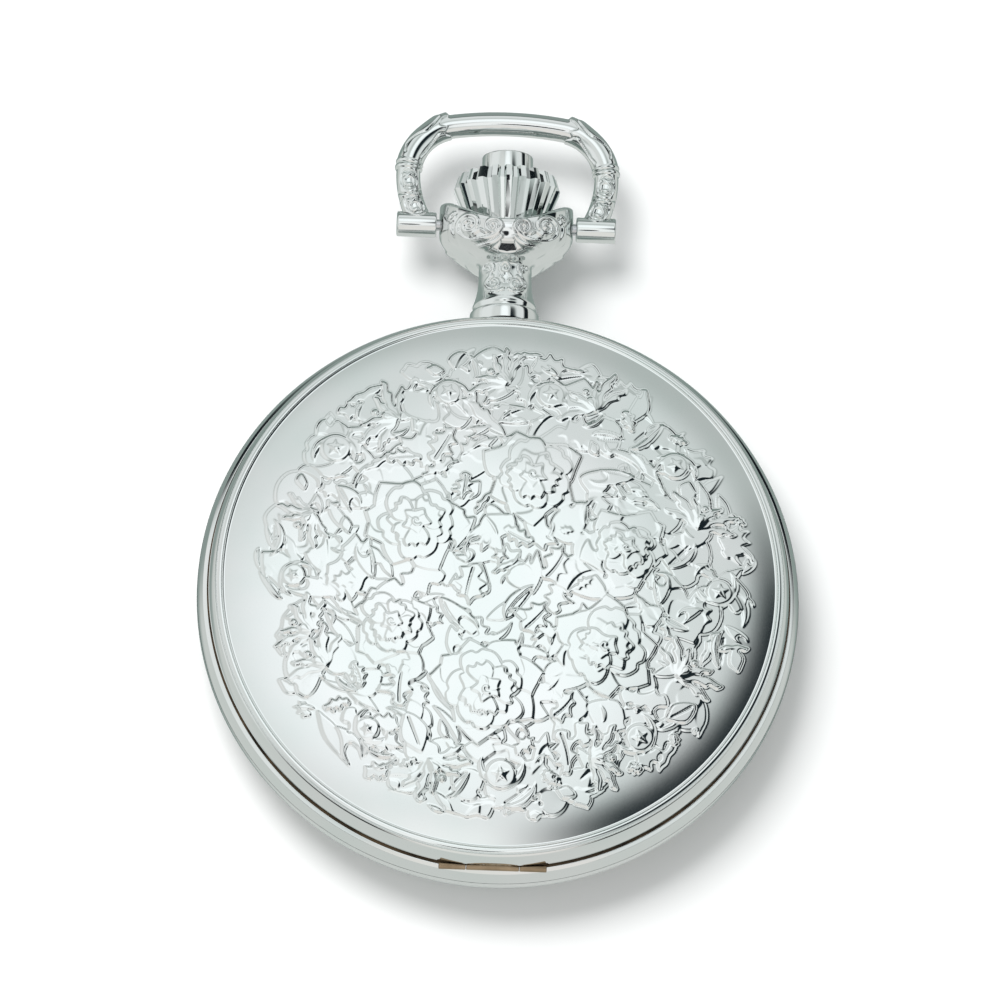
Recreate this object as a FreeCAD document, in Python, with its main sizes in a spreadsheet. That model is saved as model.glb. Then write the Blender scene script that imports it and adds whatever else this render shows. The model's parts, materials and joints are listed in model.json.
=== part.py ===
"""Hunter pocket watch: hinged case with a sprung front lid, pendant, crown and bow,
and a hand-wound lever movement with its dial and hands.

Lengths are millimetres. The watch lies on its back: +Z leaves the lid, +Y points along
the pendant and +X is to the right of the dial. The origin is the centre of the flat back.
"""
import FreeCAD, Part
import math
import os

import Sketcher

DOC = FreeCAD.newDocument("pocket_watch")
VECTOR = FreeCAD.Vector

# The driving dimensions. Heights are above the flat back, radii from the watch's axis.
SIZES = {
    # case
    "axis_height": 5.6,
    "band_radius": 24.0,
    "seam_radius": 23.5,
    "seam_height": 7.5,
    "seam_gap": 0.1,
    "back_seam_height": 3.8,
    "bore_radius": 20.5,
    "seat_radius": 21.0,
    "seat_height": 6.6,
    "wall": 0.55,
    # lid
    "land_height": 8.15,
    "ring_radius": 23.05,
    "ring_top": 9.65,
    "plate_radius": 22.0,
    "plate_edge": 9.55,
    "dome_top": 11.2,
    "centre_flat": 0.4,
    "lid_bore": 22.35,
    # back cover
    "foot_radius": 15.5,
    "back_edge_radius": 21.6,
    "back_edge_height": 1.0,
    # lid hinge
    "hinge_back": 23.05,
    "knuckle_radius": 0.45,
    "knuckle_clearance": 0.08,
    "hinge_pin_radius": 0.25,
    "hinge_length": 8.6,
    "lid_knuckle_length": 4.2,
    "running_gap": 0.03,
    # bezel, crystal and dial
    "bezel_radius": 21.7,
    "bezel_height": 9.0,
    "rehaut_radius": 18.6,
    "crystal_radius": 19.3,
    "crystal_base": 8.45,
    "crystal_thickness": 0.8,
    "crystal_rise": 0.55,
    "dial_radius": 19.9,
    "dial_base": 6.85,
    "dial_thickness": 0.5,
    # pendant
    "pendant_foot": 3.0,
    "neck_radius": 2.15,
    "head_radius": 5.34,
    "head_bottom": 28.6,
    "head_side": 30.5,
    "head_top": 33.7,
    "head_dip": 31.0,
    "cup_radius": 3.5,
    "spigot_radius": 1.6,
    "stem_bore": 0.8,
    # bow
    "pivot_reach": 31.8,
    "pivot_pin_radius": 0.45,
    "bow_foot": 6.75,
    "bow_height": 8.8,
    "bow_bar_half": 4.4,
    "bow_bar_radius": 27.7,
    "bow_corner": 4.2,
    "bow_wire": 0.95,
    "boss_radius": 1.0,
    "boss_inner": 5.6,
    "boss_outer": 8.75,
    # crown and release button
    "crown_bottom": 31.2,
    "crown_radius": 4.25,
    "crown_bottom_radius": 2.9,
    "crown_shoulder": 34.75,
    "crown_top": 35.75,
    "crown_flutes": 22,
    "button_radius": 2.03,
    "button_top": 37.7,
    "button_seat": 34.9,
    "button_travel": 0.5,
    "rod_radius": 0.45,
    "cross_pin_reach": 22.1,
    # winding work
    "stem_radius": 0.75,
    "stem_inner_radius": 0.6,
    "stem_end": 10.85,
    "lever_groove_reach": 16.45,
    "winding_pinion_reach": 13.3,
    "clutch_reach": 11.25,
    "crown_wheel_reach": 11.1,
    # movement plates
    "plate_bottom": 4.6,
    "plate_thickness": 1.25,
    "movement_radius": 17.85,
    "bridge_bottom": 1.0,
    "bridge_thickness": 0.6,
    "pillar_circle": 16.2,
    "pillar_radius": 1.1,
    "pivot_radius": 0.12,
    "arbor_radius": 0.22,
    "jewel_radius": 0.7,
    # train
    "barrel_radius": 6.85,
    "barrel_bottom": 2.3,
    "barrel_height": 1.45,
    "centre_arbor_radius": 0.4,
    "seconds_reach": 8.5,
    # balance
    "balance_radius": 4.75,
    "balance_bottom": 2.3,
    "staff_radius": 0.3,
    # hands
    "hour_hand_height": 7.8,
    "minute_hand_height": 8.25,
    "second_hand_height": 7.58,
    "hand_thickness": 0.15,
    "hour_hand_length": 10.2,
    "minute_hand_length": 15.6,
    "second_hand_length": 3.3,
}


class Size:
    """A number together with the expression that gives it from the sheet's cells."""

    def __init__(self, value, text):
        self.value = float(value)
        self.text = text

    @staticmethod
    def of(thing):
        if isinstance(thing, Size):
            return thing
        return Size(thing, repr(float(thing)))

    def joined(self, other, value, sign):
        return Size(value, "(" + self.text + sign + Size.of(other).text + ")")

    def __add__(self, other):
        return self.joined(other, self.value + Size.of(other).value, " + ")

    def __sub__(self, other):
        return self.joined(other, self.value - Size.of(other).value, " - ")

    def __mul__(self, other):
        return self.joined(other, self.value * Size.of(other).value, " * ")

    def __truediv__(self, other):
        return self.joined(other, self.value / Size.of(other).value, " / ")

    def __radd__(self, other):
        return Size.of(other) + self

    def __rsub__(self, other):
        return Size.of(other) - self

    def __neg__(self):
        return Size.of(0) - self


class Cells:
    """The sheet's cells by alias, each as a Size."""

    def __init__(self, sizes):
        self.sheet = DOC.addObject("Spreadsheet::Sheet", "Sizes")
        for row, (alias, number) in enumerate(sizes.items(), start=1):
            self.sheet.set("A%d" % row, alias)
            self.sheet.set("B%d" % row, str(number))
            self.sheet.setAlias("B%d" % row, alias)
        DOC.recompute()

    def __getattr__(self, alias):
        return Size(self.sheet.get(alias), "Sizes." + alias)


S = Cells(SIZES)


# ---------------------------------------------------------------- building helpers

AXIS_TURNS = {
    "Z": FreeCAD.Rotation(),
    "X": FreeCAD.Rotation(VECTOR(0, 1, 0), 90),
    "Y": FreeCAD.Rotation(VECTOR(1, 0, 0), -90),
}


def bind(piece, prop, size):
    piece.setExpression(prop, Size.of(size).text)


def put(piece, x=0, y=0, z=0, axis="Z", turn=0):
    """Places a piece, its own Z along the given axis, then turned about the watch's axis."""
    rotation = FreeCAD.Rotation(VECTOR(0, 0, 1), turn) * AXIS_TURNS[axis]
    base = VECTOR(Size.of(x).value, Size.of(y).value, Size.of(z).value)
    piece.Placement = FreeCAD.Placement(base, rotation)
    for letter, place in (("x", x), ("y", y), ("z", z)):
        if isinstance(place, Size):
            bind(piece, "Placement.Base." + letter, place)
    return piece


def cylinder(name, radius, length, x=0, y=0, z=0, axis="Z"):
    piece = DOC.addObject("Part::Cylinder", name)
    bind(piece, "Radius", radius)
    bind(piece, "Height", length)
    return put(piece, x, y, z, axis)


def block(name, dx, dy, dz, x=0, y=0, z=0, turn=0):
    """A box centred on x and y, standing on z, turned about its own upright middle."""
    piece = DOC.addObject("Part::Box", name)
    for prop, size in (("Length", dx), ("Width", dy), ("Height", dz)):
        bind(piece, prop, size)
    if turn == 0:
        return put(piece, Size.of(x) - Size.of(dx) / 2, Size.of(y) - Size.of(dy) / 2, z)
    half = VECTOR(-Size.of(dx).value / 2, -Size.of(dy).value / 2, 0)
    corner = FreeCAD.Rotation(VECTOR(0, 0, 1), turn).multVec(half)
    return put(piece, corner.x + Size.of(x).value, corner.y + Size.of(y).value, z, "Z", turn)


def fuse(name, pieces):
    piece = DOC.addObject("Part::MultiFuse", name)
    piece.Shapes = pieces
    return piece


def common(name, pieces):
    piece = DOC.addObject("Part::MultiCommon", name)
    piece.Shapes = pieces
    return piece


def cut(name, base, tools):
    piece = DOC.addObject("Part::Cut", name)
    piece.Base = base
    piece.Tool = tools[0] if len(tools) == 1 else fuse(name + "_tools", tools)
    return piece


def feature(name, shape, x=0, y=0, z=0, turn=0):
    """A piece whose outline is worked out tooth by tooth or turn by turn."""
    piece = DOC.addObject("Part::Feature", name)
    piece.Shape = shape
    return put(piece, x, y, z, "Z", turn)


def arc_through(start, middle, end):
    """An anticlockwise sketch arc, and which of its ends (1 or 2) is the start given."""
    circle = Part.Arc(start, middle, end).toShape().Curve
    centre = circle.Center
    first, last = (
        math.atan2(spot.y - centre.y, spot.x - centre.x) for spot in (start, end)
    )
    clockwise = (middle - start).cross(end - middle).z < 0
    full = Part.Circle(centre, VECTOR(0, 0, 1), circle.Radius)
    if clockwise:
        return Part.ArcOfCircle(full, last, first), 2
    return Part.ArcOfCircle(full, first, last), 1


def sketch(body, name, outline, plane="XZ_Plane"):
    """A closed outline. A corner is (x, y); one reached by an arc is (mid x, mid y, x, y)."""
    drawing = body.newObject("Sketcher::SketchObject", name)
    support = [item for item in body.Origin.OriginFeatures if item.Role == plane]
    drawing.AttachmentSupport = [(support[0], "")]
    drawing.MapMode = "FlatFace"
    corners = [(Size.of(entry[-2]), Size.of(entry[-1])) for entry in outline]
    spots = [VECTOR(x.value, y.value, 0) for x, y in corners]
    count = len(corners)
    edges = []
    starts = []
    for index in range(count):
        after = (index + 1) % count
        edge, start = Part.LineSegment(spots[index], spots[after]), 1
        if len(outline[after]) == 4:
            middle = VECTOR(Size.of(outline[after][0]).value, Size.of(outline[after][1]).value, 0)
            edge, start = arc_through(spots[index], middle, spots[after])
        edges.append(edge)
        starts.append(start)
    drawing.addGeometry(edges, False)
    rules = []
    bound = {}
    for index, (x, y) in enumerate(corners):
        after = (index + 1) % count
        rules.append(Sketcher.Constraint("Coincident", index, 3 - starts[index], after, starts[after]))
        for kind, size in (("DistanceX", x), ("DistanceY", y)):
            if "Sizes" in size.text:
                bound[len(rules)] = size
            rules.append(Sketcher.Constraint(kind, index, starts[index], size.value))
        if hasattr(drawing.Geometry[index], "Radius"):
            rules.append(Sketcher.Constraint("Radius", index, drawing.Geometry[index].Radius))
    drawing.addConstraint(rules)
    for place, size in bound.items():
        drawing.setExpression("Constraints[%d]" % place, size.text)
    return drawing


def turned(name, outline, x=0, y=0, z=0, axis="Z"):
    """A lathe-turned piece. The outline is (radius, distance along the axis)."""
    body = DOC.addObject("PartDesign::Body", name)
    profile = sketch(body, name + "_profile", outline)
    lathe = body.newObject("PartDesign::Revolution", name + "_turning")
    lathe.Profile = profile
    lathe.ReferenceAxis = (profile, ["V_Axis"])
    lathe.Angle = 360
    return put(body, x, y, z, axis)


def padded(name, outline, thickness, x=0, y=0, z=0, turn=0):
    """A flat piece cut to an outline."""
    body = DOC.addObject("PartDesign::Body", name)
    profile = sketch(body, name + "_outline", outline, "XY_Plane")
    pad = body.newObject("PartDesign::Pad", name + "_pad")
    pad.Profile = profile
    bind(pad, "Length", thickness)
    return put(body, x, y, z, "Z", turn)


def domed(name, radius, edge, top, thickness):
    """A round shell bowed up from its edge height to its top, of even thickness."""
    rise = top - edge
    ball_radius = (radius * radius + rise * rise) / (rise * 2)
    balls = []
    for side, size in (("outer", ball_radius), ("inner", ball_radius - thickness)):
        ball = DOC.addObject("Part::Sphere", name + "_" + side)
        bind(ball, "Radius", size)
        balls.append(put(ball, z=top - ball_radius))
    blank = cylinder(name + "_blank", radius, rise + thickness + 1, z=edge - thickness - 0.5)
    return cut(name, common(name + "_capped", [blank, balls[0]]), [balls[1]])


def across(radius, degrees):
    """The x and y of a point at a radius and an angle."""
    angle = math.radians(degrees)
    return radius * math.cos(angle), radius * math.sin(angle)


def apart(here, there):
    return math.hypot(there[0] - here[0], there[1] - here[1])


def heading(here, there):
    return math.degrees(math.atan2(there[1] - here[1], there[0] - here[0]))


def third_corner(a, b, from_a, from_b, side):
    """The point at given distances from a and b, to the left (1) or right (-1) of a to b."""
    span = apart(a, b)
    along = (span ** 2 + from_a ** 2 - from_b ** 2) / (2 * span)
    aside = side * math.sqrt(from_a ** 2 - along ** 2)
    ux, uy = (b[0] - a[0]) / span, (b[1] - a[1]) / span
    return a[0] + ux * along - uy * aside, a[1] + uy * along + ux * aside


# ---------------------------------------------------------------- toothed wheels

def toothed(teeth, pitch, tip, root, thickness, z, phase=0):
    """A solid toothed disc. Its teeth are slender, which leaves them ample backlash."""
    step = 2 * math.pi / teeth
    corners = []
    for tooth in range(teeth):
        middle = math.radians(phase) + tooth * step
        for radius, share in ((root, -0.21), (tip, -0.08), (tip, 0.08), (root, 0.21)):
            angle = middle + share * step
            corners.append(VECTOR(radius * math.cos(angle), radius * math.sin(angle), z))
    face = Part.Face(Part.makePolygon(corners + corners[:1]))
    return face.extrude(VECTOR(0, 0, thickness))


def disc(radius, thickness, z):
    return Part.makeCylinder(radius, thickness, VECTOR(0, 0, z))


def geared(teeth, module, thickness, z, phase=0):
    """A toothed disc of a module."""
    pitch = module * teeth / 2
    return toothed(teeth, pitch, pitch + 0.8 * module, pitch - 1.15 * module, thickness, z, phase)


def spoked(teeth, module, thickness, z, phase, spokes, hub):
    """A train wheel: a toothed rim on thin spokes."""
    inner = module * teeth / 2 - 1.15 * module - 0.35
    shape = geared(teeth, module, thickness, z, phase).cut(disc(inner, thickness, z))
    bars = [disc(hub, thickness, z)]
    for spoke in range(spokes):
        bar = Part.makeBox(inner + 0.1, 0.32, thickness, VECTOR(0, -0.16, z))
        bar.rotate(VECTOR(), VECTOR(0, 0, 1), phase + spoke * 360 / spokes)
        bars.append(bar)
    return shape.fuse(bars)


def phase_in_mesh(direction, teeth, phase, other_teeth):
    """The phase that puts the other wheel's gap on this wheel's tooth."""
    step = 360 / teeth
    share = ((direction - phase) / step) % 1
    return direction + 180 + (share + 0.5) * 360 / other_teeth


def arbor(radius, bottom, top):
    return Part.makeCylinder(radius, top - bottom, VECTOR(0, 0, bottom))


def joined(shapes):
    return shapes[0].fuse(shapes[1:]).removeSplitter()


# ---------------------------------------------------------------- movement layout

CENTRE = (0.0, 0.0)
BARREL_TEETH, CENTRE_LEAVES, BARREL_MODULE = 80, 10, 8.0 / 45
CENTRE_TEETH, THIRD_LEAVES, CENTRE_MODULE = 64, 8, 0.14
THIRD_TEETH, FOURTH_LEAVES, THIRD_MODULE = 60, 8, 0.12
FOURTH_TEETH, ESCAPE_LEAVES, FOURTH_MODULE = 70, 7, 0.10
ESCAPE_TEETH, ESCAPE_RADIUS = 15, 2.4
RATCHET_TEETH, CROWN_TEETH, WINDING_MODULE = 36, 24, 0.28
CANNON_LEAVES, MINUTE_TEETH, MOTION_MODULE = 12, 36, 0.16
MINUTE_LEAVES, HOUR_TEETH, SETTING_TEETH = 10, 40, 24
WINDING_LEAVES = 12

CROWN_WHEEL = (0.0, S.crown_wheel_reach.value)
BARREL = third_corner(
    CENTRE, CROWN_WHEEL, BARREL_MODULE * 45, WINDING_MODULE * (RATCHET_TEETH + CROWN_TEETH) / 2, 1
)
FOURTH = (0.0, -S.seconds_reach.value)
THIRD = third_corner(
    CENTRE, FOURTH, CENTRE_MODULE * 36, THIRD_MODULE * (THIRD_TEETH + FOURTH_LEAVES) / 2, 1
)
ESCAPE_STEP = across(FOURTH_MODULE * (FOURTH_TEETH + ESCAPE_LEAVES) / 2, -10)
ESCAPE = (FOURTH[0] + ESCAPE_STEP[0], FOURTH[1] + ESCAPE_STEP[1])
LEVER_ANGLE = 55
PALLET_STEP = across(3.0, LEVER_ANGLE)
PALLET = (ESCAPE[0] + PALLET_STEP[0], ESCAPE[1] + PALLET_STEP[1])
BALANCE_STEP = across(3.6, LEVER_ANGLE)
BALANCE = (PALLET[0] + BALANCE_STEP[0], PALLET[1] + BALANCE_STEP[1])
MINUTE = (0.0, MOTION_MODULE * (CANNON_LEAVES + MINUTE_TEETH) / 2)
SETTING = (0.0, MINUTE[1] + MOTION_MODULE * (MINUTE_TEETH + SETTING_TEETH) / 2)
COCK_ANGLE = heading(CENTRE, BALANCE)
BARREL_PILLARS = [across(S.pillar_circle.value, angle) for angle in (168, 100, 35)]
TRAIN_PILLARS = [across(S.pillar_circle.value, angle) for angle in (-162, -110, -72)]
COCK_PILLAR = across(15.2, COCK_ANGLE)
CLICK = (BARREL[0] + across(6.9, 160)[0], BARREL[1] + across(6.9, 160)[1])
YOKE = (-3.4, 12.1)
SETTING_LEVER = (3.2, 16.85)
CASE_SCREWS = [across(17.35, angle) for angle in (68, 205, 320)]


# ---------------------------------------------------------------- case

def band_outline(inner):
    """The band's section: convex outside, with rounded corners at both seams."""
    top = S.seam_height - S.seam_gap
    low = S.back_seam_height
    edge = S.seam_radius
    return [
        (inner, low), (edge - 0.3, low), (edge - 0.09, low + 0.09, edge, low + 0.3),
        (S.band_radius, S.axis_height, edge, top - 0.3), (edge - 0.09, top - 0.09, edge - 0.3, top),
        (inner, top),
    ]


def hinge_rod(name, radius, length, middle):
    """A rod along the lid's hinge axis."""
    return cylinder(name, radius, length, Size.of(middle) - Size.of(length) / 2,
                    -S.hinge_back, S.seam_height, "X")


def side_knuckle_places():
    length = (S.hinge_length - S.lid_knuckle_length) / 2 - 0.05
    middle = (S.hinge_length / 2) - length / 2
    return length, (("left", -middle), ("right", middle))


def case_band():
    ring = turned("band_ring", band_outline(S.bore_radius))
    length, places = side_knuckle_places()
    solid = [ring]
    for side, middle in places:
        solid.append(hinge_rod("band_knuckle_" + side, S.knuckle_radius, length, middle))
    top_seat = cylinder("band_top_seat", S.seat_radius, 2, z=S.seat_height)
    back_seat = cylinder("band_back_seat", S.seat_radius, 2, z=S.plate_bottom - 2)
    knuckle_room = hinge_rod("band_knuckle_room", S.knuckle_radius + S.knuckle_clearance,
                             S.lid_knuckle_length + 0.1, 0)
    pin_hole = hinge_rod("band_pin_hole", S.hinge_pin_radius, S.hinge_length + 1, 0)
    pendant_hole = cylinder("band_pendant_hole", S.spigot_radius, 4, 0, 22.4, S.axis_height, "Y")
    catch_slot = block("band_catch_slot", 3.4, 3, 4, 0, 21, 4.4)
    return cut("case_band", fuse("band_solid", solid), [
        top_seat, back_seat, knuckle_room, pin_hole, pendant_hole, catch_slot,
    ])


def lid():
    """The embossed front lid: a domed plate in a rounded ring, with its hinge knuckle."""
    wall = S.wall
    bore = S.lid_bore
    middle = S.plate_radius / 2
    bow_down = (S.dome_top - S.plate_edge) / 4
    shell = turned("lid_shell", [
        (0, S.dome_top - wall), (S.centre_flat, S.dome_top - wall),
        (middle, S.dome_top - wall - bow_down, bore - 1.05, S.plate_edge - 0.43),
        (bore, S.land_height + 0.45), (bore, S.seam_height), (S.seam_radius, S.seam_height),
        (S.seam_radius - 0.08, S.land_height), (S.ring_radius, S.land_height + 0.08),
        (S.ring_radius - 0.13, S.ring_top - 0.4, S.plate_radius + 0.35, S.ring_top),
        (S.plate_radius + 0.1, S.ring_top), (S.plate_radius, S.plate_edge),
        (middle, S.dome_top - bow_down, S.centre_flat, S.dome_top), (0, S.dome_top),
    ])
    flat = block("lid_hinge_flat", 14, 2, 6, 0, -(S.hinge_back + 1), S.seam_height - 1)
    length, places = side_knuckle_places()
    rooms = [
        hinge_rod("lid_room_" + side, S.knuckle_radius + S.knuckle_clearance, length + 0.2, middle)
        for side, middle in places
    ]
    flattened = cut("lid_flattened", shell, [flat] + rooms)
    knuckle = hinge_rod("lid_knuckle", S.knuckle_radius, S.lid_knuckle_length, 0)
    lip = block("lid_lip", 2.6, 0.6, 0.3, 0, bore - 0.1, S.seam_height + 0.02)
    pin_hole = hinge_rod("lid_pin_hole", S.hinge_pin_radius + S.running_gap, 20, 0)
    return cut("lid", fuse("lid_solid", [flattened, knuckle, lip]), [pin_hole])


def lid_hinge_pin():
    return hinge_rod("lid_hinge_pin", S.hinge_pin_radius, S.hinge_length, 0)


def back_cover():
    """The snap-on back: flat in the middle, so that the watch lies steady on it."""
    wall = S.wall
    top = S.back_seam_height
    return turned("back_cover", [
        (0, 0), (S.foot_radius, 0), (19.0, 0.25, S.back_edge_radius, S.back_edge_height),
        (S.seam_radius - 0.75, 1.95, S.seam_radius, top - 0.5), (S.seam_radius, top),
        (S.seat_radius - 0.02, top), (S.seat_radius - 0.02, top + 0.7),
        (S.seat_radius - 0.4, top + 0.7), (S.seat_radius - 0.4, top - 0.5),
        (S.seam_radius - 0.8, top - 0.7), (S.seam_radius - 1.2, 2.3), (S.seam_radius - 2.3, 1.5),
        (18.8, 0.8, S.foot_radius, wall), (0, wall),
    ])


def bezel_ring():
    """The ring that carries the crystal, with the sloped flange over the dial's edge."""
    crystal_edge = S.crystal_radius + 0.02
    dial_top = S.dial_base + S.dial_thickness
    ring = turned("bezel_turned", [
        (S.rehaut_radius, dial_top + 0.1), (S.dial_radius + 0.2, dial_top + 0.1),
        (S.dial_radius + 0.2, S.dial_base + 0.1), (S.bore_radius + 0.05, S.dial_base + 0.1),
        (S.bore_radius + 0.05, S.seat_height + 0.1), (S.seat_radius - 0.03, S.seat_height + 0.1),
        (S.seat_radius - 0.03, S.seam_height - S.seam_gap),
        (S.bezel_radius, S.seam_height - S.seam_gap), (S.bezel_radius, S.seam_height + 0.4),
        (21.35, 8.65, 20.5, S.bezel_height), (crystal_edge, S.bezel_height - 0.05),
        (crystal_edge, S.crystal_base), (S.rehaut_radius + 0.3, S.crystal_base),
    ])
    notch = block("bezel_catch_notch", 3.4, 2, 1.8, 0, 21.7, S.seat_height)
    return cut("bezel_ring", ring, [notch])


def crystal():
    edge = S.crystal_base + S.crystal_thickness
    return domed("crystal", S.crystal_radius, edge, edge + S.crystal_rise, S.crystal_thickness)


def lid_catch():
    """The catch plate round the stem; its nose stands just behind the lid's lip."""
    plate = block("catch_plate", 2.8, 0.5, 3.2, 0, 21.6, 4.55)
    shank = block("catch_shank", 2.0, 0.5, 0.7, 0, 21.6, 7.5)
    nose = block("catch_nose", 2.0, 0.55, 0.3, 0, 21.625, 7.9)
    hole = cylinder("catch_stem_hole", S.stem_radius + 0.1, 3, 0, 20, S.axis_height, "Y")
    return cut("lid_catch", fuse("catch_solid", [plate, shank, nose]), [hole])


def catch_spring():
    """A bowed leaf behind the catch, clear of the catch's travel."""
    half, foot, crest, thick = 5.2, 18.9, 20.3, 0.2
    return padded("catch_spring", [
        (-half, foot), (0, crest, half, foot), (half, foot + thick),
        (0, crest + thick, -half, foot + thick),
    ], 0.3, z=S.seat_height - 0.25)


def lift_spring():
    """A curved leaf under the lid's rim, beside the hinge, that lifts the lid when released."""
    inner, outer = 21.8, 22.05
    start, end, middle = (across(1, angle) for angle in (-125, -55, -90))
    return padded("lift_spring", [
        (inner * middle[0], inner * middle[1], inner * start[0], inner * start[1]),
        (outer * start[0], outer * start[1]),
        (outer * middle[0], outer * middle[1], outer * end[0], outer * end[1]),
        (inner * end[0], inner * end[1]),
    ], 0.5, z=S.seam_height - S.seam_gap)


# ---------------------------------------------------------------- pendant, bow and crown

def pendant():
    """The neck and the cupped head; the head's rim dips in front and behind the crown."""
    turning = turned("pendant_turning", [
        (0, 22.6), (S.pendant_foot, 22.6), (S.pendant_foot, 24.1),
        (S.pendant_foot - 0.15, 24.4), (S.neck_radius + 0.3, 24.9, S.neck_radius + 0.2, 25.7),
        (S.neck_radius, 27.6), (S.neck_radius, S.head_bottom),
        (S.head_radius - 0.3, S.head_side - 0.2),
        (S.head_radius - 0.05, S.head_side, S.head_radius, S.head_side + 0.35),
        (S.head_radius, S.head_top - 0.5),
        (S.head_radius - 0.1, S.head_top - 0.1, S.head_radius - 0.5, S.head_top), (0, S.head_top),
    ], z=S.axis_height, axis="Y")
    chord = S.head_radius.value
    dip = S.head_top.value - S.head_dip.value
    saddle_radius = (chord ** 2 + dip ** 2) / (2 * dip)
    saddle = cylinder("pendant_saddle", saddle_radius, 16, 0, S.head_dip + saddle_radius, -2)
    cup = cylinder("pendant_cup", S.cup_radius, 6, 0, S.crown_bottom - 0.25, S.axis_height, "Y")
    case_edge = turned("pendant_case_edge", band_outline(0))
    upper = cylinder("pendant_lid_room", S.seam_radius + 0.12, 8, z=S.seam_height - S.seam_gap - 0.02)
    lower = cylinder("pendant_back_room", S.seam_radius + 0.1, 5, z=S.back_seam_height - 4.98)
    shaped = cut("pendant_shaped", turning, [saddle, cup, case_edge, upper, lower])
    spigot = cylinder("pendant_spigot", S.spigot_radius, 3, 0, 22.5, S.axis_height, "Y")
    bore = cylinder("pendant_bore", S.stem_bore, 14, 0, 20, S.axis_height, "Y")
    pin_room = cylinder("pendant_pin_room", S.spigot_radius - 0.35, 1.6, 0, 22.4, S.axis_height, "Y")
    pivots = cylinder("pendant_pivot_hole", S.pivot_pin_radius, 14, -7, S.pivot_reach, S.axis_height, "X")
    return cut("pendant", fuse("pendant_solid", [shaped, spigot]), [bore, pin_room, pivots])


def bow_pins():
    """The two pivots that carry the bow."""
    inner = S.cup_radius + 0.15
    length = S.boss_outer - 0.9 - inner
    left = cylinder("bow_pin_left", S.pivot_pin_radius, length, -(inner + length), S.pivot_reach,
                    S.axis_height, "X")
    right = cylinder("bow_pin_right", S.pivot_pin_radius, length, inner, S.pivot_reach,
                     S.axis_height, "X")
    return fuse("bow_pins", [left, right])


def bow_line():
    """Ends and middles of the arcs up the bow's right side: its arm, its corner and half its bar."""
    bar_radius, corner = S.bow_bar_radius.value, S.bow_corner.value
    tilt = math.asin(S.bow_bar_half.value / bar_radius)
    bar_centre = S.bow_height.value - bar_radius
    reach = bar_radius - corner
    centre = VECTOR(reach * math.sin(tilt), bar_centre + reach * math.cos(tilt), 0)
    side = centre + VECTOR(corner, 0, 0)
    inward = side.x - S.bow_foot.value
    arm_angle = 2 * math.atan(inward / side.y)
    arm_radius = side.y / math.sin(arm_angle)

    def on_arm(angle):
        return side + VECTOR(arm_radius * (math.cos(angle) - 1), -arm_radius * math.sin(angle), 0)

    def on_corner(angle):
        return centre + VECTOR(corner * math.cos(angle), corner * math.sin(angle), 0)

    last = math.pi / 2 - tilt
    return [on_arm(arm_angle), on_arm(arm_angle / 2), side, on_corner(last / 2), on_corner(last)]


def bow_wire():
    """The bow's bent wire, piped along curved arms, round corners and a slightly arched bar."""
    body = DOC.addObject("PartDesign::Body", "bow_wire")
    path = body.newObject("Sketcher::SketchObject", "bow_path")
    planes = {item.Role: item for item in body.Origin.OriginFeatures}
    path.AttachmentSupport = [(planes["XY_Plane"], "")]
    path.MapMode = "FlatFace"
    right = bow_line()
    left = [VECTOR(-spot.x, spot.y, 0) for spot in right]
    top = VECTOR(0, S.bow_height.value, 0)
    path.addGeometry([
        arc_through(right[0], right[1], right[2])[0],
        arc_through(right[2], right[3], right[4])[0],
        arc_through(right[4], top, left[4])[0],
        arc_through(left[4], left[3], left[2])[0],
        arc_through(left[2], left[1], left[0])[0],
    ], False)
    ring = body.newObject("Sketcher::SketchObject", "bow_section")
    ring.AttachmentSupport = [(planes["XZ_Plane"], "")]
    ring.MapMode = "FlatFace"
    foot = S.bow_foot.value
    ring.addGeometry(Part.Circle(VECTOR(foot, 0, 0), VECTOR(0, 0, 1), S.bow_wire.value), False)
    ring.addConstraint([
        Sketcher.Constraint("DistanceX", 0, 3, foot),
        Sketcher.Constraint("PointOnObject", 0, 3, -1),
        Sketcher.Constraint("Radius", 0, S.bow_wire.value),
    ])
    ring.setExpression("Constraints[0]", S.bow_foot.text)
    ring.setExpression("Constraints[2]", S.bow_wire.text)
    pipe = body.newObject("PartDesign::AdditivePipe", "bow_pipe")
    pipe.Profile = ring
    pipe.Spine = (path, ["Edge%d" % edge for edge in range(1, 6)])
    return put(body, 0, S.pivot_reach, S.axis_height)


def bow():
    """The bow: a bent wire with a boss at each end, which turns on its pivot pin."""
    length = S.boss_outer - S.boss_inner
    radius = S.boss_radius
    ends = []
    for side, start in (("left", -S.boss_outer), ("right", S.boss_inner)):
        ends.append(turned("bow_boss_" + side, [
            (0, 0), (radius - 0.25, 0), (radius - 0.07, 0.07, radius, 0.25), (radius, length - 0.25),
            (radius - 0.07, length - 0.07, radius - 0.25, length), (0, length),
        ], start, S.pivot_reach, S.axis_height, "X"))
    bores = []
    depth = length - 0.8
    for side, start in (("left", -(S.boss_inner + depth)), ("right", S.boss_inner)):
        bores.append(cylinder("bow_bore_" + side, S.pivot_pin_radius + S.running_gap, depth,
                              start, S.pivot_reach, S.axis_height, "X"))
    return cut("bow", fuse("bow_solid", [bow_wire()] + ends), bores)


def crown_blank():
    low = S.crown_bottom
    return turned("crown_blank", [
        (S.rod_radius + 0.05, low), (S.crown_bottom_radius - 0.2, low),
        (S.crown_bottom_radius, low + 0.2), (S.crown_radius - 0.15, S.crown_shoulder - 0.4),
        (S.crown_radius, S.crown_shoulder), (S.crown_radius - 0.3, S.crown_top),
        (S.button_radius + 0.07, S.crown_top), (S.button_radius + 0.07, S.button_seat),
        (S.rod_radius + 0.05, S.button_seat),
    ], z=S.axis_height, axis="Y")


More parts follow.
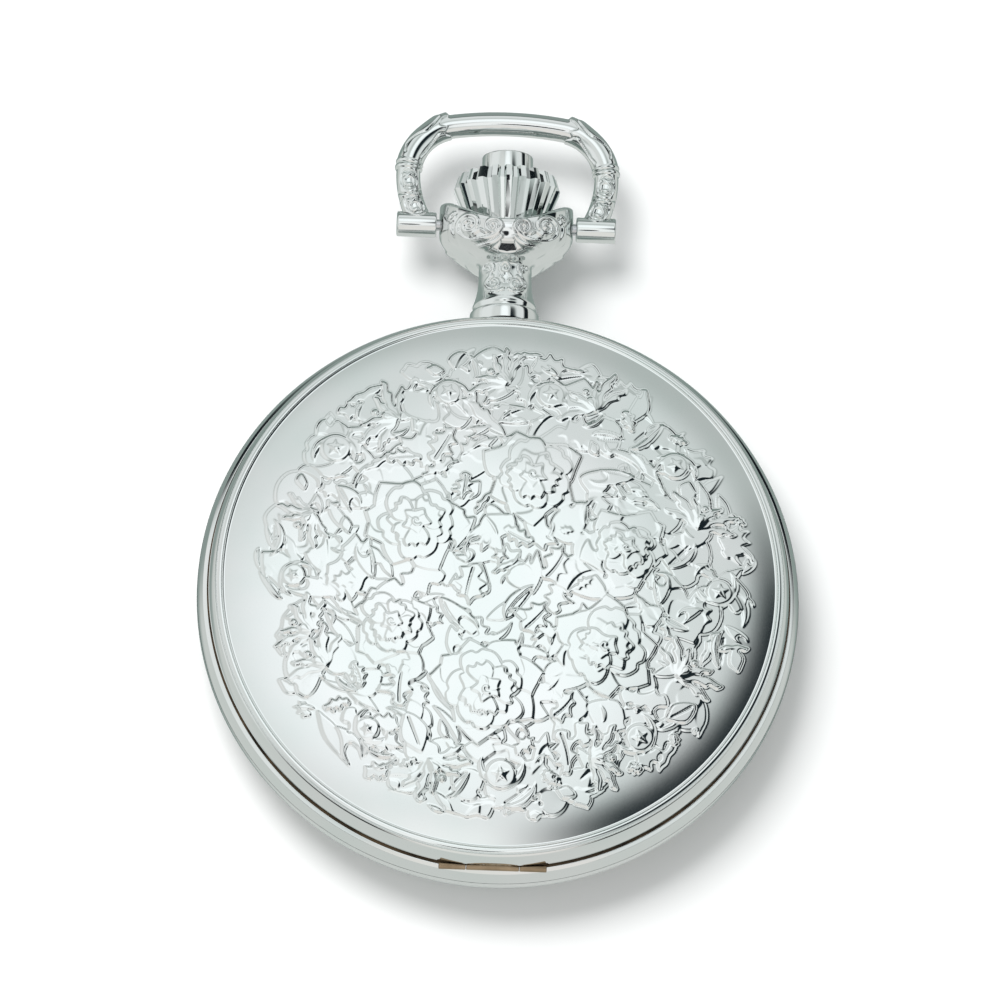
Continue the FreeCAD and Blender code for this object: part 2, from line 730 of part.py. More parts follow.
def crown():
    """The fluted winding crown. Each flute narrows from the shoulder to the bottom."""
    flutes = int(S.crown_flutes.value)
    share = 2 * math.pi / flutes
    low, high = S.crown_bottom.value - 0.1, S.crown_top.value + 0.1
    rings = []
    for reach, radius, depth in (
        (low, S.crown_bottom_radius.value - 0.1, 0.3),
        (S.crown_shoulder.value, S.crown_radius.value, 0.46),
        (high, S.crown_radius.value - 0.33, 0.4),
    ):
        half = radius * share * 0.36
        rings.append([VECTOR(radius - depth, -half * 0.35, reach), VECTOR(radius - depth, half * 0.35, reach),
                      VECTOR(radius + 0.5, half * 1.5, reach), VECTOR(radius + 0.5, -half * 1.5, reach)])
    wires = [Part.makePolygon(ring + ring[:1]) for ring in rings]
    lower = Part.makeLoft([wires[0], wires[1]], True, True)
    upper = Part.makeLoft([wires[1], wires[2]], True, True)
    groove = lower.fuse(upper)
    grooves = []
    for flute in range(flutes):
        copy = groove.copy()
        copy.rotate(VECTOR(), VECTOR(0, 0, 1), flute * 360 / flutes)
        grooves.append(copy)
    cutter = DOC.addObject("Part::Feature", "crown_flutes_cutter")
    cutter.Shape = Part.makeCompound(grooves)
    put(cutter, 0, 0, S.axis_height, "Y")
    return cut("crown", crown_blank(), [cutter])


def release_button():
    """The plain push button in the crown's top."""
    low = S.button_seat + S.button_travel + 0.1
    rim = S.button_radius
    return turned("release_button", [
        (0, low), (rim, low), (rim, S.button_top - 0.2),
        (rim - 0.06, S.button_top - 0.06, rim - 0.2, S.button_top), (0, S.button_top),
    ], z=S.axis_height, axis="Y")


def release_rod():
    """The rod from the button down the hollow stem, with the cross pin that moves the catch."""
    low = S.cross_pin_reach - 0.4
    top = S.button_seat + S.button_travel + 0.1
    rod = cylinder("rod_shaft", S.rod_radius, top - low, 0, low, S.axis_height, "Y")
    pin = cylinder("rod_cross_pin", 0.2, 2.2, -1.1, S.cross_pin_reach, S.axis_height, "X")
    return fuse("release_rod", [rod, pin])


def winding_stem():
    """The stem: hollow where the release rod slides in it, solid and thinner in the movement."""
    hollow = cylinder("stem_outer", S.stem_radius, S.crown_bottom - 20.6, 0, 20.6, S.axis_height, "Y")
    thin = cylinder("stem_inner", S.stem_inner_radius, 20.7 - S.stem_end, 0, S.stem_end,
                    S.axis_height, "Y")
    bore = cylinder("stem_bore_hole", S.rod_radius + 0.05, 12, 0, 21.0, S.axis_height, "Y")
    slot = block("stem_slot", 3, 1.3, 0.46, 0, 21.95, S.axis_height - 0.23)
    groove_room = cylinder("stem_groove_room", 1, 0.5, 0, S.lever_groove_reach - 0.25, S.axis_height, "Y")
    groove_core = cylinder("stem_groove_core", 0.4, 0.5, 0, S.lever_groove_reach - 0.25, S.axis_height, "Y")
    groove = cut("stem_groove", groove_room, [groove_core])
    return cut("winding_stem", fuse("stem_solid", [hollow, thin]), [bore, slot, groove])


def winding_pinion():
    """The pinion that turns the crown wheel; a tooth points straight down at rest."""
    shape = toothed(WINDING_LEAVES, 1.05, 1.2, 0.85, 1.4, 0, 90)
    shape = shape.cut(disc(S.stem_inner_radius.value + 0.03, 1.4, 0))
    pinion = DOC.addObject("Part::Feature", "winding_pinion")
    pinion.Shape = shape
    return put(pinion, 0, S.winding_pinion_reach, S.axis_height, "Y")


def clutch_wheel():
    """The sliding clutch on the stem, grooved for the yoke."""
    low = S.clutch_reach
    bore = S.stem_inner_radius + S.running_gap
    return turned("clutch_wheel", [
        (bore, low), (1.0, low), (1.0, low + 0.85), (0.75, low + 0.85), (0.75, low + 1.45),
        (1.0, low + 1.45), (1.0, low + 1.98), (bore, low + 1.98),
    ], z=S.axis_height, axis="Y")


# ---------------------------------------------------------------- dial and hands

def dial():
    """The dial, with a sunk seconds track and two feet."""
    plate = cylinder("dial_plate", S.dial_radius, S.dial_thickness, z=S.dial_base)
    feet = [
        cylinder("dial_foot_" + side, 0.35, 1.5, x, y, S.dial_base - 1.5)
        for side, (x, y) in (("left", across(16.4, 150)), ("right", across(16.4, -48)))
    ]
    top = S.dial_base + S.dial_thickness
    sunk = cylinder("dial_seconds_sink", 4.3, 1, 0, -S.seconds_reach, top - 0.12)
    centre_hole = cylinder("dial_centre_hole", 1.2, 2, z=S.dial_base - 0.5)
    seconds_hole = cylinder("dial_seconds_hole", 0.4, 2, 0, -S.seconds_reach, S.dial_base - 0.5)
    return cut("dial", fuse("dial_solid", [plate] + feet), [sunk, centre_hole, seconds_hole])


def hand(name, length, tail, width, hub, bore, x, y, z, turn):
    """A spade hand: a hub, a tapering arm with a heart near the tip, and a short tail."""
    neck = length * 0.62
    heart = width * 1.9
    outline = [
        (-tail, -width / 2), (neck - heart, -width / 2), (neck, -heart), (neck + heart, -width / 3),
        (length, -0.05), (length, 0.05), (neck + heart, width / 3), (neck, heart),
        (neck - heart, width / 2), (-tail, width / 2),
    ]
    arm = padded(name + "_arm", outline, S.hand_thickness, x, y, z, turn)
    disc_piece = cylinder(name + "_hub", hub, S.hand_thickness, x, y, z)
    hole = cylinder(name + "_hole", bore, 2, x, y, z - 1)
    return cut(name, fuse(name + "_solid", [arm, disc_piece]), [hole])


def hour_hand():
    return hand("hour_hand", S.hour_hand_length, 0.0, 0.9, 1.45, 1.05, 0, 0, S.hour_hand_height, 152)


def minute_hand():
    return hand("minute_hand", S.minute_hand_length, 0.0, 0.7, 1.2, 0.78, 0, 0,
                S.minute_hand_height, 38)


def second_hand():
    return hand("second_hand", S.second_hand_length, 1.2, 0.18, 0.4, 0.12, 0, -S.seconds_reach,
                S.second_hand_height, -30)


# ---------------------------------------------------------------- plates and bridges

def movement_ring():
    """The spacer between the movement and the case band."""
    outer = cylinder("ring_outer", S.bore_radius - 0.03, S.dial_base - S.plate_bottom, z=S.plate_bottom)
    inner = cylinder("ring_inner", S.movement_radius + 0.03, 5, z=S.plate_bottom - 1)
    stem_hole = cylinder("ring_stem_hole", 0.95, 5, 0, 17, S.axis_height, "Y")
    spring_room = block("ring_spring_room", 13, 4, 1, 0, 20.3, 6.3)
    catch_room = block("ring_catch_room", 3.4, 2, 4, 0, 21.2, 4)
    return cut("movement_ring", outer, [inner, stem_hole, spring_room, catch_room])


def case_screws():
    """Screws whose heads clamp the movement into its ring."""
    pieces = []
    for index, (x, y) in enumerate(CASE_SCREWS):
        pieces.append(cylinder("case_screw_head_%d" % index, 0.9, 0.3, x, y, S.plate_bottom - 0.3))
        pieces.append(cylinder("case_screw_shank_%d" % index, 0.3, 1.0, x, y, S.plate_bottom - 0.1))
    return fuse("case_screws", pieces)


def main_plate():
    """The main plate, with the posts that the loose wheels and levers turn on."""
    low, thick = S.plate_bottom, S.plate_thickness
    top = low + thick
    plate = cylinder("main_disc", S.movement_radius, thick, z=low)
    posts = [
        cylinder("post_minute", 0.3, 0.75, MINUTE[0], MINUTE[1], top - 0.05),
        cylinder("post_setting", 0.3, 0.4, SETTING[0], SETTING[1], top - 0.05),
        cylinder("post_yoke", 0.3, 0.85, YOKE[0], YOKE[1], top - 0.05),
        cylinder("post_lever", 0.3, 0.7, SETTING_LEVER[0], SETTING_LEVER[1], top - 0.05),
        cylinder("post_click", 0.3, 0.8, CLICK[0], CLICK[1], low - 0.75),
    ]
    holes = [
        cylinder("hole_centre", S.centre_arbor_radius + S.running_gap, 3, z=low - 1),
        cylinder("hole_barrel", 0.8 + S.running_gap, 3, BARREL[0], BARREL[1], low - 1),
        cylinder("hole_fourth", S.arbor_radius + S.running_gap, 3, FOURTH[0], FOURTH[1], low - 1),
    ]
    for name, (x, y) in (("third", THIRD), ("escape", ESCAPE), ("pallet", PALLET), ("balance", BALANCE)):
        holes.append(cylinder("hole_" + name, S.jewel_radius, 0.5, x, y, low))
    for index, (x, y) in enumerate(BARREL_PILLARS + TRAIN_PILLARS + [COCK_PILLAR]):
        holes.append(cylinder("hole_bridge_screw_%d" % index, 0.45, 0.8, x, y, low))
    for index, (x, y) in enumerate(CASE_SCREWS):
        holes.append(cylinder("hole_case_screw_%d" % index, 0.3, 0.9, x, y, low))
    for side, (x, y) in (("left", across(16.4, 150)), ("right", across(16.4, -48))):
        holes.append(cylinder("hole_dial_foot_" + side, 0.36, 1.6, x, y, S.dial_base - 1.55))
    holes.append(block("winding_slot", 2.7, 4.6, 3, 0, 12.9, low - 1))
    holes.append(cylinder("stem_channel", S.stem_inner_radius + 0.05, 9, 0, 10.2, S.axis_height, "Y"))
    return cut("main_plate", fuse("main_solid", [plate] + posts), holes)


def screw_hole(name, spot, bottom):
    """The counterbore and clearance hole of a bridge screw through its pillar."""
    x, y = spot
    return [
        cylinder(name + "_head", 0.85, 0.3, x, y, bottom),
        cylinder(name + "_shank", 0.48, 5, x, y, bottom),
    ]


def bridge(name, region, pillars, holes):
    """A bridge: a flat plate over the movement, standing on pillars screwed to the main plate."""
    low = S.bridge_bottom
    stands = [
        cylinder("%s_pillar_%d" % (name, index), S.pillar_radius, S.plate_bottom - low - 0.3,
                 x, y, low + 0.3)
        for index, (x, y) in enumerate(pillars)
    ]
    tools = list(holes)
    for index, spot in enumerate(pillars):
        tools += screw_hole("%s_screw_%d" % (name, index), spot, low)
    return cut(name, fuse(name + "_solid", [region] + stands), tools)


def bridge_disc(name):
    return cylinder(name, S.movement_radius - 0.35, S.bridge_thickness, z=S.bridge_bottom)


def barrel_bridge():
    """The bridge over the barrel, with the stepped post that the crown wheel turns on."""
    x, y = CROWN_WHEEL
    half = common("barrel_bridge_half_disc", [
        bridge_disc("barrel_bridge_disc"),
        block("barrel_bridge_half", 40, 20, 3, 0, 11.6, 0),
    ])
    region = fuse("barrel_bridge_region", [
        half,
        cylinder("post_crown_wheel_shoulder", 0.95, 2.3, x, y, 1.52),
        cylinder("post_crown_wheel", 0.6, 0.6, x, y, 3.58),
    ])
    hole = cylinder("barrel_bridge_arbor_hole", 0.9 + S.running_gap, 3, BARREL[0], BARREL[1], 0)
    return bridge("barrel_bridge", region, BARREL_PILLARS, [hole])


def train_bridge():
    disc_piece = common("train_bridge_half_disc", [
        bridge_disc("train_bridge_disc"),
        block("train_bridge_half", 40, 20, 3, 0, -8.7, 0),
    ])
    middle = across(14, COCK_ANGLE)
    clearings = [
        cylinder("train_bridge_balance_room", 5.3, 3, BALANCE[0], BALANCE[1], 0),
        block("train_bridge_cock_room", 12, 10.6, 3, middle[0], middle[1], 0, COCK_ANGLE),
        block("train_bridge_side_room", 12.4, 8, 3, 13.8, -2, 0),
    ]
    region = cut("train_bridge_region", disc_piece, clearings)
    holes = [cylinder("train_bridge_centre_hole", S.centre_arbor_radius + S.running_gap, 3)]
    for name, (x, y) in (("third", THIRD), ("fourth", FOURTH), ("escape", ESCAPE)):
        holes.append(cylinder("train_bridge_%s_hole" % name, S.jewel_radius, 3, x, y, 0))
    return bridge("train_bridge", region, TRAIN_PILLARS, holes)


def balance_cock():
    """The cock over the balance, with the collar that the regulator turns on and the stud."""
    low = S.bridge_bottom
    middle = ((BALANCE[0] + COCK_PILLAR[0]) / 2, (BALANCE[1] + COCK_PILLAR[1]) / 2)
    arm = fuse("cock_arm", [
        block("cock_bar", apart(BALANCE, COCK_PILLAR), 2.8, S.bridge_thickness,
              middle[0], middle[1], low, COCK_ANGLE),
        cylinder("cock_eye", 1.9, S.bridge_thickness, BALANCE[0], BALANCE[1], low),
        cylinder("cock_foot", 1.9, S.bridge_thickness, COCK_PILLAR[0], COCK_PILLAR[1], low),
        cylinder("cock_collar", 1.0, 0.2, BALANCE[0], BALANCE[1], low - 0.2),
        cylinder("cock_stud", 0.22, 0.35, BALANCE[0] + across(2.75, COCK_ANGLE)[0],
                 BALANCE[1] + across(2.75, COCK_ANGLE)[1], low + S.bridge_thickness),
    ])
    hole = cylinder("cock_jewel_hole", S.jewel_radius, 3, BALANCE[0], BALANCE[1], 0)
    return bridge("balance_cock", arm, [COCK_PILLAR], [hole])


def pallet_cock():
    """The small cock under the balance that carries the pallet arbor."""
    foot_step = across(2.9, LEVER_ANGLE - 90)
    foot = (PALLET[0] + foot_step[0], PALLET[1] + foot_step[1])
    middle = ((PALLET[0] + foot[0]) / 2, (PALLET[1] + foot[1]) / 2)
    solid = fuse("pallet_cock_solid", [
        block("pallet_cock_bar", 2.9, 1.2, 0.3, middle[0], middle[1], 2.85, LEVER_ANGLE - 90),
        cylinder("pallet_cock_eye", 0.75, 0.3, PALLET[0], PALLET[1], 2.85),
        cylinder("pallet_cock_foot", 0.75, S.plate_bottom - 2.85, foot[0], foot[1], 2.85),
    ])
    hole = cylinder("pallet_cock_hole", S.pivot_radius + 0.02, 1, PALLET[0], PALLET[1], 2.5)
    return cut("pallet_cock", solid, [hole])


def bridge_screws():
    """The slotted screws that hold the bridges and the cock to the main plate."""
    pieces = []
    slots = []
    for index, (x, y) in enumerate(BARREL_PILLARS + TRAIN_PILLARS + [COCK_PILLAR]):
        low = S.bridge_bottom
        pieces.append(cylinder("bridge_screw_head_%d" % index, 0.8, 0.28, x, y, low))
        pieces.append(cylinder("bridge_screw_shank_%d" % index, 0.44, 4.3, x, y, low))
        slots.append(block("bridge_screw_slot_%d" % index, 2, 0.18, 0.2, x, y, low - 0.1, 40 * index + 15))
    return cut("bridge_screws", fuse("bridge_screws_solid", pieces), slots)


def jewel(name, spot, z, thickness, bore):
    x, y = spot
    stone = cylinder(name + "_stone", S.jewel_radius, thickness, x, y, z)
    hole = cylinder(name + "_bore", bore, 3, x, y, Size.of(z) - 1)
    return cut(name, stone, [hole])


def train_jewels():
    """The ring jewels that the train pivots turn in."""
    pivot = S.pivot_radius + 0.02
    pieces = []
    for name, spot in (("third", THIRD), ("fourth", FOURTH), ("escape", ESCAPE)):
        pieces.append(jewel("jewel_back_" + name, spot, S.bridge_bottom + 0.1, 0.4, pivot))
    for name, spot in (("third", THIRD), ("escape", ESCAPE), ("pallet", PALLET)):
        pieces.append(jewel("jewel_front_" + name, spot, S.plate_bottom, 0.4, pivot))
    return fuse("train_jewels", pieces)


def balance_jewels():
    """The balance staff's two jewels."""
    pivot = S.pivot_radius + 0.02
    return fuse("balance_jewels", [
        jewel("jewel_back_balance", BALANCE, S.bridge_bottom + 0.1, 0.4, pivot),
        jewel("jewel_front_balance", BALANCE, S.plate_bottom, 0.4, pivot),
    ])


# ---------------------------------------------------------------- winding and barrel

def barrel_phase():
    return 0.0


def mainspring_barrel():
    low, high = S.barrel_bottom.value, S.barrel_bottom.value + S.barrel_height.value
    drum = S.barrel_radius.value
    pitch = BARREL_MODULE * BARREL_TEETH / 2
    teeth = toothed(BARREL_TEETH, pitch, pitch + 0.14, drum, 0.4, low + 0.6, barrel_phase())
    shape = disc(drum, high - low, low).fuse(teeth).removeSplitter()
    shape = shape.cut(disc(drum - 0.35, high - low, low + 0.3))
    shape = shape.cut(disc(0.9 + S.running_gap.value, 1, low - 0.2))
    return feature("mainspring_barrel", shape, BARREL[0], BARREL[1], 0)


def barrel_cover():
    high = S.barrel_bottom + S.barrel_height
    lid_piece = cylinder("barrel_cover_disc", S.barrel_radius - 0.35, 0.25, BARREL[0], BARREL[1], high - 0.25)
    hole = cylinder("barrel_cover_hole", 0.9 + S.running_gap, 3, BARREL[0], BARREL[1], 2)
    return cut("barrel_cover", lid_piece, [hole])


def barrel_arbor():
    x, y = BARREL
    high = S.barrel_bottom + S.barrel_height
    return fuse("barrel_arbor", [
        cylinder("arbor_back", 0.9, S.barrel_bottom - 0.6, x, y, S.bridge_bottom + 0.1),
        cylinder("arbor_hub", 1.5, S.barrel_height - 0.65, x, y, S.barrel_bottom + 0.35),
        cylinder("arbor_middle", 0.9, 1.75, x, y, high - 1),
        cylinder("arbor_front", 0.8, 1.3, x, y, high + 0.4),
    ])


def spiral_strip(first, last, turns, thickness, height, z):
    """A flat strip coiled from one radius to another."""
    count = int(turns * 24)
    inner, outer = [], []
    for index in range(count + 1):
        angle = 2 * math.pi * turns * index / count
        radius = first + (last - first) * index / count
        inner.append(VECTOR(radius * math.cos(angle), radius * math.sin(angle), z))
        outer.append(VECTOR((radius + thickness) * math.cos(angle),
                            (radius + thickness) * math.sin(angle), z))
    curves = []
    for points in (inner, outer):
        curve = Part.BSplineCurve()
        curve.interpolate(points)
        curves.append(curve.toShape())
    ends = [Part.makeLine(inner[0], outer[0]), Part.makeLine(inner[-1], outer[-1])]
    wire = Part.Wire(Part.sortEdges([curves[0], curves[1]] + ends)[0])
    return Part.Face(wire).extrude(VECTOR(0, 0, height))


def mainspring():
    low = S.barrel_bottom.value + 0.38
    shape = spiral_strip(1.62, 6.3, 7, 0.14, 0.72, low)
    return feature("mainspring", shape, BARREL[0], BARREL[1], 0)


def wheel_on_square(name, teeth, phase, bore, spot, z, thickness):
    shape = geared(teeth, WINDING_MODULE, thickness, z, phase)
    return feature(name, shape.cut(disc(bore, thickness, z)), spot[0], spot[1], 0)


def crown_wheel_phase():
    """A gap between ribs faces the winding pinion's downward tooth."""
    return 90 + 180 / CROWN_TEETH


def ratchet_phase():
    return phase_in_mesh(heading(CROWN_WHEEL, BARREL), CROWN_TEETH, crown_wheel_phase(), RATCHET_TEETH)


def ratchet_wheel():
    return wheel_on_square("ratchet_wheel", RATCHET_TEETH, ratchet_phase(), 0.9, BARREL, 3.85, 0.4)


def crown_wheel():
    """The crown wheel: spur teeth for the ratchet wheel, ribs on top for the winding pinion."""
    shape = geared(CROWN_TEETH, WINDING_MODULE, 0.3, 3.85, crown_wheel_phase())
    ribs = []
    for rib in range(CROWN_TEETH):
        bar = Part.makeBox(0.7, 0.14, 0.4, VECTOR(2.2, -0.07, 4.1))
        bar.rotate(VECTOR(), VECTOR(0, 0, 1), crown_wheel_phase() + rib * 360 / CROWN_TEETH)
        ribs.append(bar)
    shape = shape.fuse(ribs).cut(disc(0.63, 0.8, 3.8))
    return feature("crown_wheel", shape, CROWN_WHEEL[0], CROWN_WHEEL[1], 0)


def crown_wheel_screw():
    x, y = CROWN_WHEEL
    head = cylinder("crown_screw_head", 1.1, 0.22, x, y, 4.18)
    slot = block("crown_screw_slot", 3, 0.22, 0.2, x, y, 4.32, 25)
    return cut("crown_wheel_screw", head, [slot])


def click():
    """The click: a pivoted pawl whose beak faces the ratchet wheel's teeth."""
    toward = heading(CLICK, BARREL) + 34
    middle = across(0.95, toward)
    body = fuse("click_solid", [
        cylinder("click_eye", 0.75, 0.3, CLICK[0], CLICK[1], 3.87),
        block("click_beak", 1.3, 0.5, 0.3, CLICK[0] + middle[0], CLICK[1] + middle[1], 3.87, toward),
    ])
    hole = cylinder("click_hole", 0.3 + S.running_gap, 2, CLICK[0], CLICK[1], 3)
    return cut("click", body, [hole])


def click_spring():
    """A bent leaf held by its own foot beside the click."""
    away = heading(BARREL, CLICK)
    foot_step = across(2.0, away - 62)
    foot = (CLICK[0] + foot_step[0], CLICK[1] + foot_step[1])
    return fuse("click_spring", [
        cylinder("click_spring_foot", 0.45, 0.73, foot[0], foot[1], 3.87),
        block("click_spring_leaf", 1.9, 0.14, 0.3, foot[0] + across(0.9, away + 85)[0],
              foot[1] + across(0.9, away + 85)[1], 3.87, away + 85),
    ])


# ---------------------------------------------------------------- going train

def centre_leaf_phase():
    return phase_in_mesh(heading(BARREL, CENTRE), BARREL_TEETH, barrel_phase(), CENTRE_LEAVES)


def third_leaf_phase():
    return phase_in_mesh(heading(CENTRE, THIRD), CENTRE_TEETH, 0, THIRD_LEAVES)


def fourth_leaf_phase():
    return phase_in_mesh(heading(THIRD, FOURTH), THIRD_TEETH, 0, FOURTH_LEAVES)


def escape_leaf_phase():
    return phase_in_mesh(heading(FOURTH, ESCAPE), FOURTH_TEETH, 0, ESCAPE_LEAVES)


def centre_wheel():
    pitch = BARREL_MODULE * CENTRE_LEAVES / 2
    shape = joined([
        spoked(CENTRE_TEETH, CENTRE_MODULE, 0.25, 1.8, 0, 5, 0.9),
        toothed(CENTRE_LEAVES, pitch, pitch + 0.11, pitch - 0.25, 0.9, 2.6, centre_leaf_phase()),
        arbor(S.centre_arbor_radius.value, 1.1, 8.4),
        arbor(0.6, 1.65, 2.65),
    ])
    return feature("centre_wheel", shape)


def pivoted(bottom, top):
    """A train arbor between the bridge and the main plate, with a fine pivot at each end."""
    low, high = S.bridge_bottom.value + 0.65, S.plate_bottom.value - 0.05
    pivot = S.pivot_radius.value
    return [
        arbor(S.arbor_radius.value, low, high),
        arbor(pivot, bottom, low + 0.1),
        arbor(pivot, high - 0.1, top),
    ]


def train_wheel(name, spot, wheel_z, teeth, module, leaves, leaf_module, leaf_z, leaf_height, leaf_phase):
    """A spoked wheel and its pinion on one pivoted arbor."""
    shape = joined([
        spoked(teeth, module, 0.2, wheel_z, 0, 4, 0.6),
        geared(leaves, leaf_module, leaf_height, leaf_z, leaf_phase),
    ] + pivoted(1.15, 4.95))
    return feature(name, shape, spot[0], spot[1], 0)


def third_wheel():
    return train_wheel("third_wheel", THIRD, 3.9, THIRD_TEETH, THIRD_MODULE,
                       THIRD_LEAVES, CENTRE_MODULE, 1.7, 0.45, third_leaf_phase())


def fourth_wheel():
    """The fourth wheel, whose long front arbor carries the seconds hand."""
    shape = joined([
        spoked(FOURTH_TEETH, FOURTH_MODULE, 0.2, 2.3, 0, 4, 0.6),
        geared(FOURTH_LEAVES, THIRD_MODULE, 0.6, 3.7, fourth_leaf_phase()),
        arbor(S.arbor_radius.value, 1.65, 7.2), arbor(S.pivot_radius.value, 1.15, 1.75),
        arbor(S.pivot_radius.value, 7.1, 7.75),
    ])
    return feature("fourth_wheel", shape, FOURTH[0], FOURTH[1], 0)


def escape_wheel():
    """The escape wheel: fifteen raked teeth on thin spokes."""
    step = 2 * math.pi / ESCAPE_TEETH
    corners = []
    for tooth in range(ESCAPE_TEETH):
        start = tooth * step
        for radius, share in ((1.75, 0.0), (ESCAPE_RADIUS, 0.3), (ESCAPE_RADIUS, 0.42), (1.75, 0.3)):
            angle = start + share * step
            corners.append(VECTOR(radius * math.cos(angle), radius * math.sin(angle), 3.55))
    rim = Part.Face(Part.makePolygon(corners + corners[:1])).extrude(VECTOR(0, 0, 0.2))
    rim = rim.cut(disc(1.45, 0.2, 3.55))
    bars = [disc(0.55, 0.2, 3.55)]
    for spoke in range(4):
        bar = Part.makeBox(1.6, 0.26, 0.2, VECTOR(0, -0.13, 3.55))
        bar.rotate(VECTOR(), VECTOR(0, 0, 1), spoke * 90)
        bars.append(bar)
    leaves = geared(ESCAPE_LEAVES, FOURTH_MODULE, 0.5, 2.15, escape_leaf_phase())
    shape = joined([rim.fuse(bars), leaves] + pivoted(1.15, 4.95))
    return feature("escape_wheel", shape, ESCAPE[0], ESCAPE[1], 0)


def stone_places():
    """Where the two pallet stones stand, either side of the line of centres."""
    places = []
    for side in (-1, 1):
        angle = LEVER_ANGLE + side * 31
        step = across(ESCAPE_RADIUS + 0.42, angle)
        places.append((ESCAPE[0] + step[0], ESCAPE[1] + step[1], angle))
    return places


def pallet_fork():
    """The lever: two arms to the stones, and a forked tail around the impulse jewel."""
    x, y = PALLET
    low, thick = 3.55, 0.25
    pieces = [cylinder("lever_eye", 0.45, thick, x, y, low)]
    for index, (sx, sy, _) in enumerate(stone_places()):
        middle = ((x + sx) / 2, (y + sy) / 2)
        pieces.append(block("lever_arm_%d" % index, apart(PALLET, (sx, sy)) - 0.4, 0.4, thick,
                            middle[0], middle[1], low, heading(PALLET, (sx, sy))))
    tail = across(1.15, LEVER_ANGLE)
    pieces.append(block("lever_tail", 2.3, 0.34, thick, x + tail[0], y + tail[1], low, LEVER_ANGLE))
    for index, side in enumerate((-1, 1)):
        prong = across(2.5, LEVER_ANGLE)
        shift = across(side * 0.36, LEVER_ANGLE + 90)
        pieces.append(block("lever_prong_%d" % index, 0.7, 0.2, thick, x + prong[0] + shift[0],
                            y + prong[1] + shift[1], low, LEVER_ANGLE))
    bridge_piece = across(2.2, LEVER_ANGLE)
    pieces.append(block("lever_yoke", 0.25, 0.92, thick, x + bridge_piece[0], y + bridge_piece[1],
                        low, LEVER_ANGLE))
    pieces += [
        cylinder("lever_arbor", S.arbor_radius, 1.3, x, y, 3.2),
        cylinder("lever_pivot_back", S.pivot_radius, 0.4, x, y, 2.9),
        cylinder("lever_pivot_front", S.pivot_radius, 0.55, x, y, 4.4),
    ]
    return fuse("pallet_fork", pieces)


def pallet_stones():
    pieces = [
        block("stone_%d" % index, 0.4, 0.24, 0.25, sx, sy, 3.55, angle)
        for index, (sx, sy, angle) in enumerate(stone_places())
    ]
    return fuse("pallet_stones", pieces)


# ---------------------------------------------------------------- balance

def balance_wheel():
    x, y = BALANCE
    low = S.balance_bottom
    rim = cut("balance_rim", cylinder("balance_rim_outer", S.balance_radius, 0.4, x, y, low),
              [cylinder("balance_rim_inner", S.balance_radius - 0.45, 1, x, y, low - 0.3)])
    solid = fuse("balance_solid", [
        rim,
        block("balance_arm", (S.balance_radius - 0.2) * 2, 0.6, 0.2, x, y, low + 0.1, LEVER_ANGLE),
        cylinder("balance_hub", 0.8, 0.3, x, y, low + 0.05),
    ])
    return cut("balance_wheel", solid, [cylinder("balance_bore", S.staff_radius, 1, x, y, low - 0.3)])


def balance_screws():
    """The timing screws round the balance rim."""
    pieces = []
    count = 14
    for index in range(count):
        angle = LEVER_ANGLE + (index + 0.5) * 360 / count
        step = across(S.balance_radius.value + 0.16, angle)
        pieces.append(block("balance_screw_%d" % index, 0.4, 0.4, 0.3, BALANCE[0] + step[0],
                            BALANCE[1] + step[1], S.balance_bottom + 0.05, angle))
    return fuse("balance_screws", pieces)


def balance_staff():
    """The staff with its double roller."""
    x, y = BALANCE
    return fuse("balance_staff", [
        cylinder("staff_back_pivot", S.pivot_radius, 0.6, x, y, 1.15),
        cylinder("staff_body", S.staff_radius, 2.9, x, y, 1.65),
        cylinder("staff_front_pivot", S.pivot_radius, 0.5, x, y, 4.45),
        cylinder("staff_roller", 1.1, 0.18, x, y, 3.2),
    ])


def impulse_jewel():
    step = across(0.85, LEVER_ANGLE + 180)
    return cylinder("impulse_jewel", 0.16, 0.14, BALANCE[0] + step[0], BALANCE[1] + step[1], 3.38)


def hairspring():
    """The flat hairspring with its collet."""
    coil = spiral_strip(0.5, 2.4, 7, 0.07, 0.2, 1.75)
    collet = disc(0.56, 0.25, 1.72).cut(disc(S.staff_radius.value, 0.25, 1.72))
    return feature("hairspring", coil.fuse(collet), BALANCE[0], BALANCE[1], 0, COCK_ANGLE)


def regulator():
    """The index that turns on the cock's collar."""
    x, y = BALANCE
    low = S.bridge_bottom - 0.2
    step = across(2.4, COCK_ANGLE + 8)
    body = fuse("regulator_solid", [
        cylinder("regulator_ring", 1.4, 0.17, x, y, low),
        block("regulator_index", 2.6, 0.34, 0.17, x + step[0], y + step[1], low, COCK_ANGLE + 8),
    ])
    hole = cylinder("regulator_hole", 1.0 + S.running_gap, 2, x, y, 0)
    return cut("regulator", body, [hole])


# ---------------------------------------------------------------- motion and setting work

def cannon_phase():
    return 0.0


def minute_phase():
    return phase_in_mesh(heading(CENTRE, MINUTE), CANNON_LEAVES, cannon_phase(), MINUTE_TEETH)


def setting_phase():
    return phase_in_mesh(heading(MINUTE, SETTING), MINUTE_TEETH, minute_phase(), SETTING_TEETH)


def hour_phase():
    return phase_in_mesh(heading(MINUTE, CENTRE), MINUTE_LEAVES, 0, HOUR_TEETH)


def cannon_pinion():
    """The cannon pinion, gripped on the centre arbor; the minute hand sits on its pipe."""
    shape = geared(CANNON_LEAVES, MOTION_MODULE, 0.22, 5.95, cannon_phase())
    shape = joined([shape, arbor(0.78, 6.15, 8.42)]).cut(disc(S.centre_arbor_radius.value, 3, 5.9))
    return feature("cannon_pinion", shape)


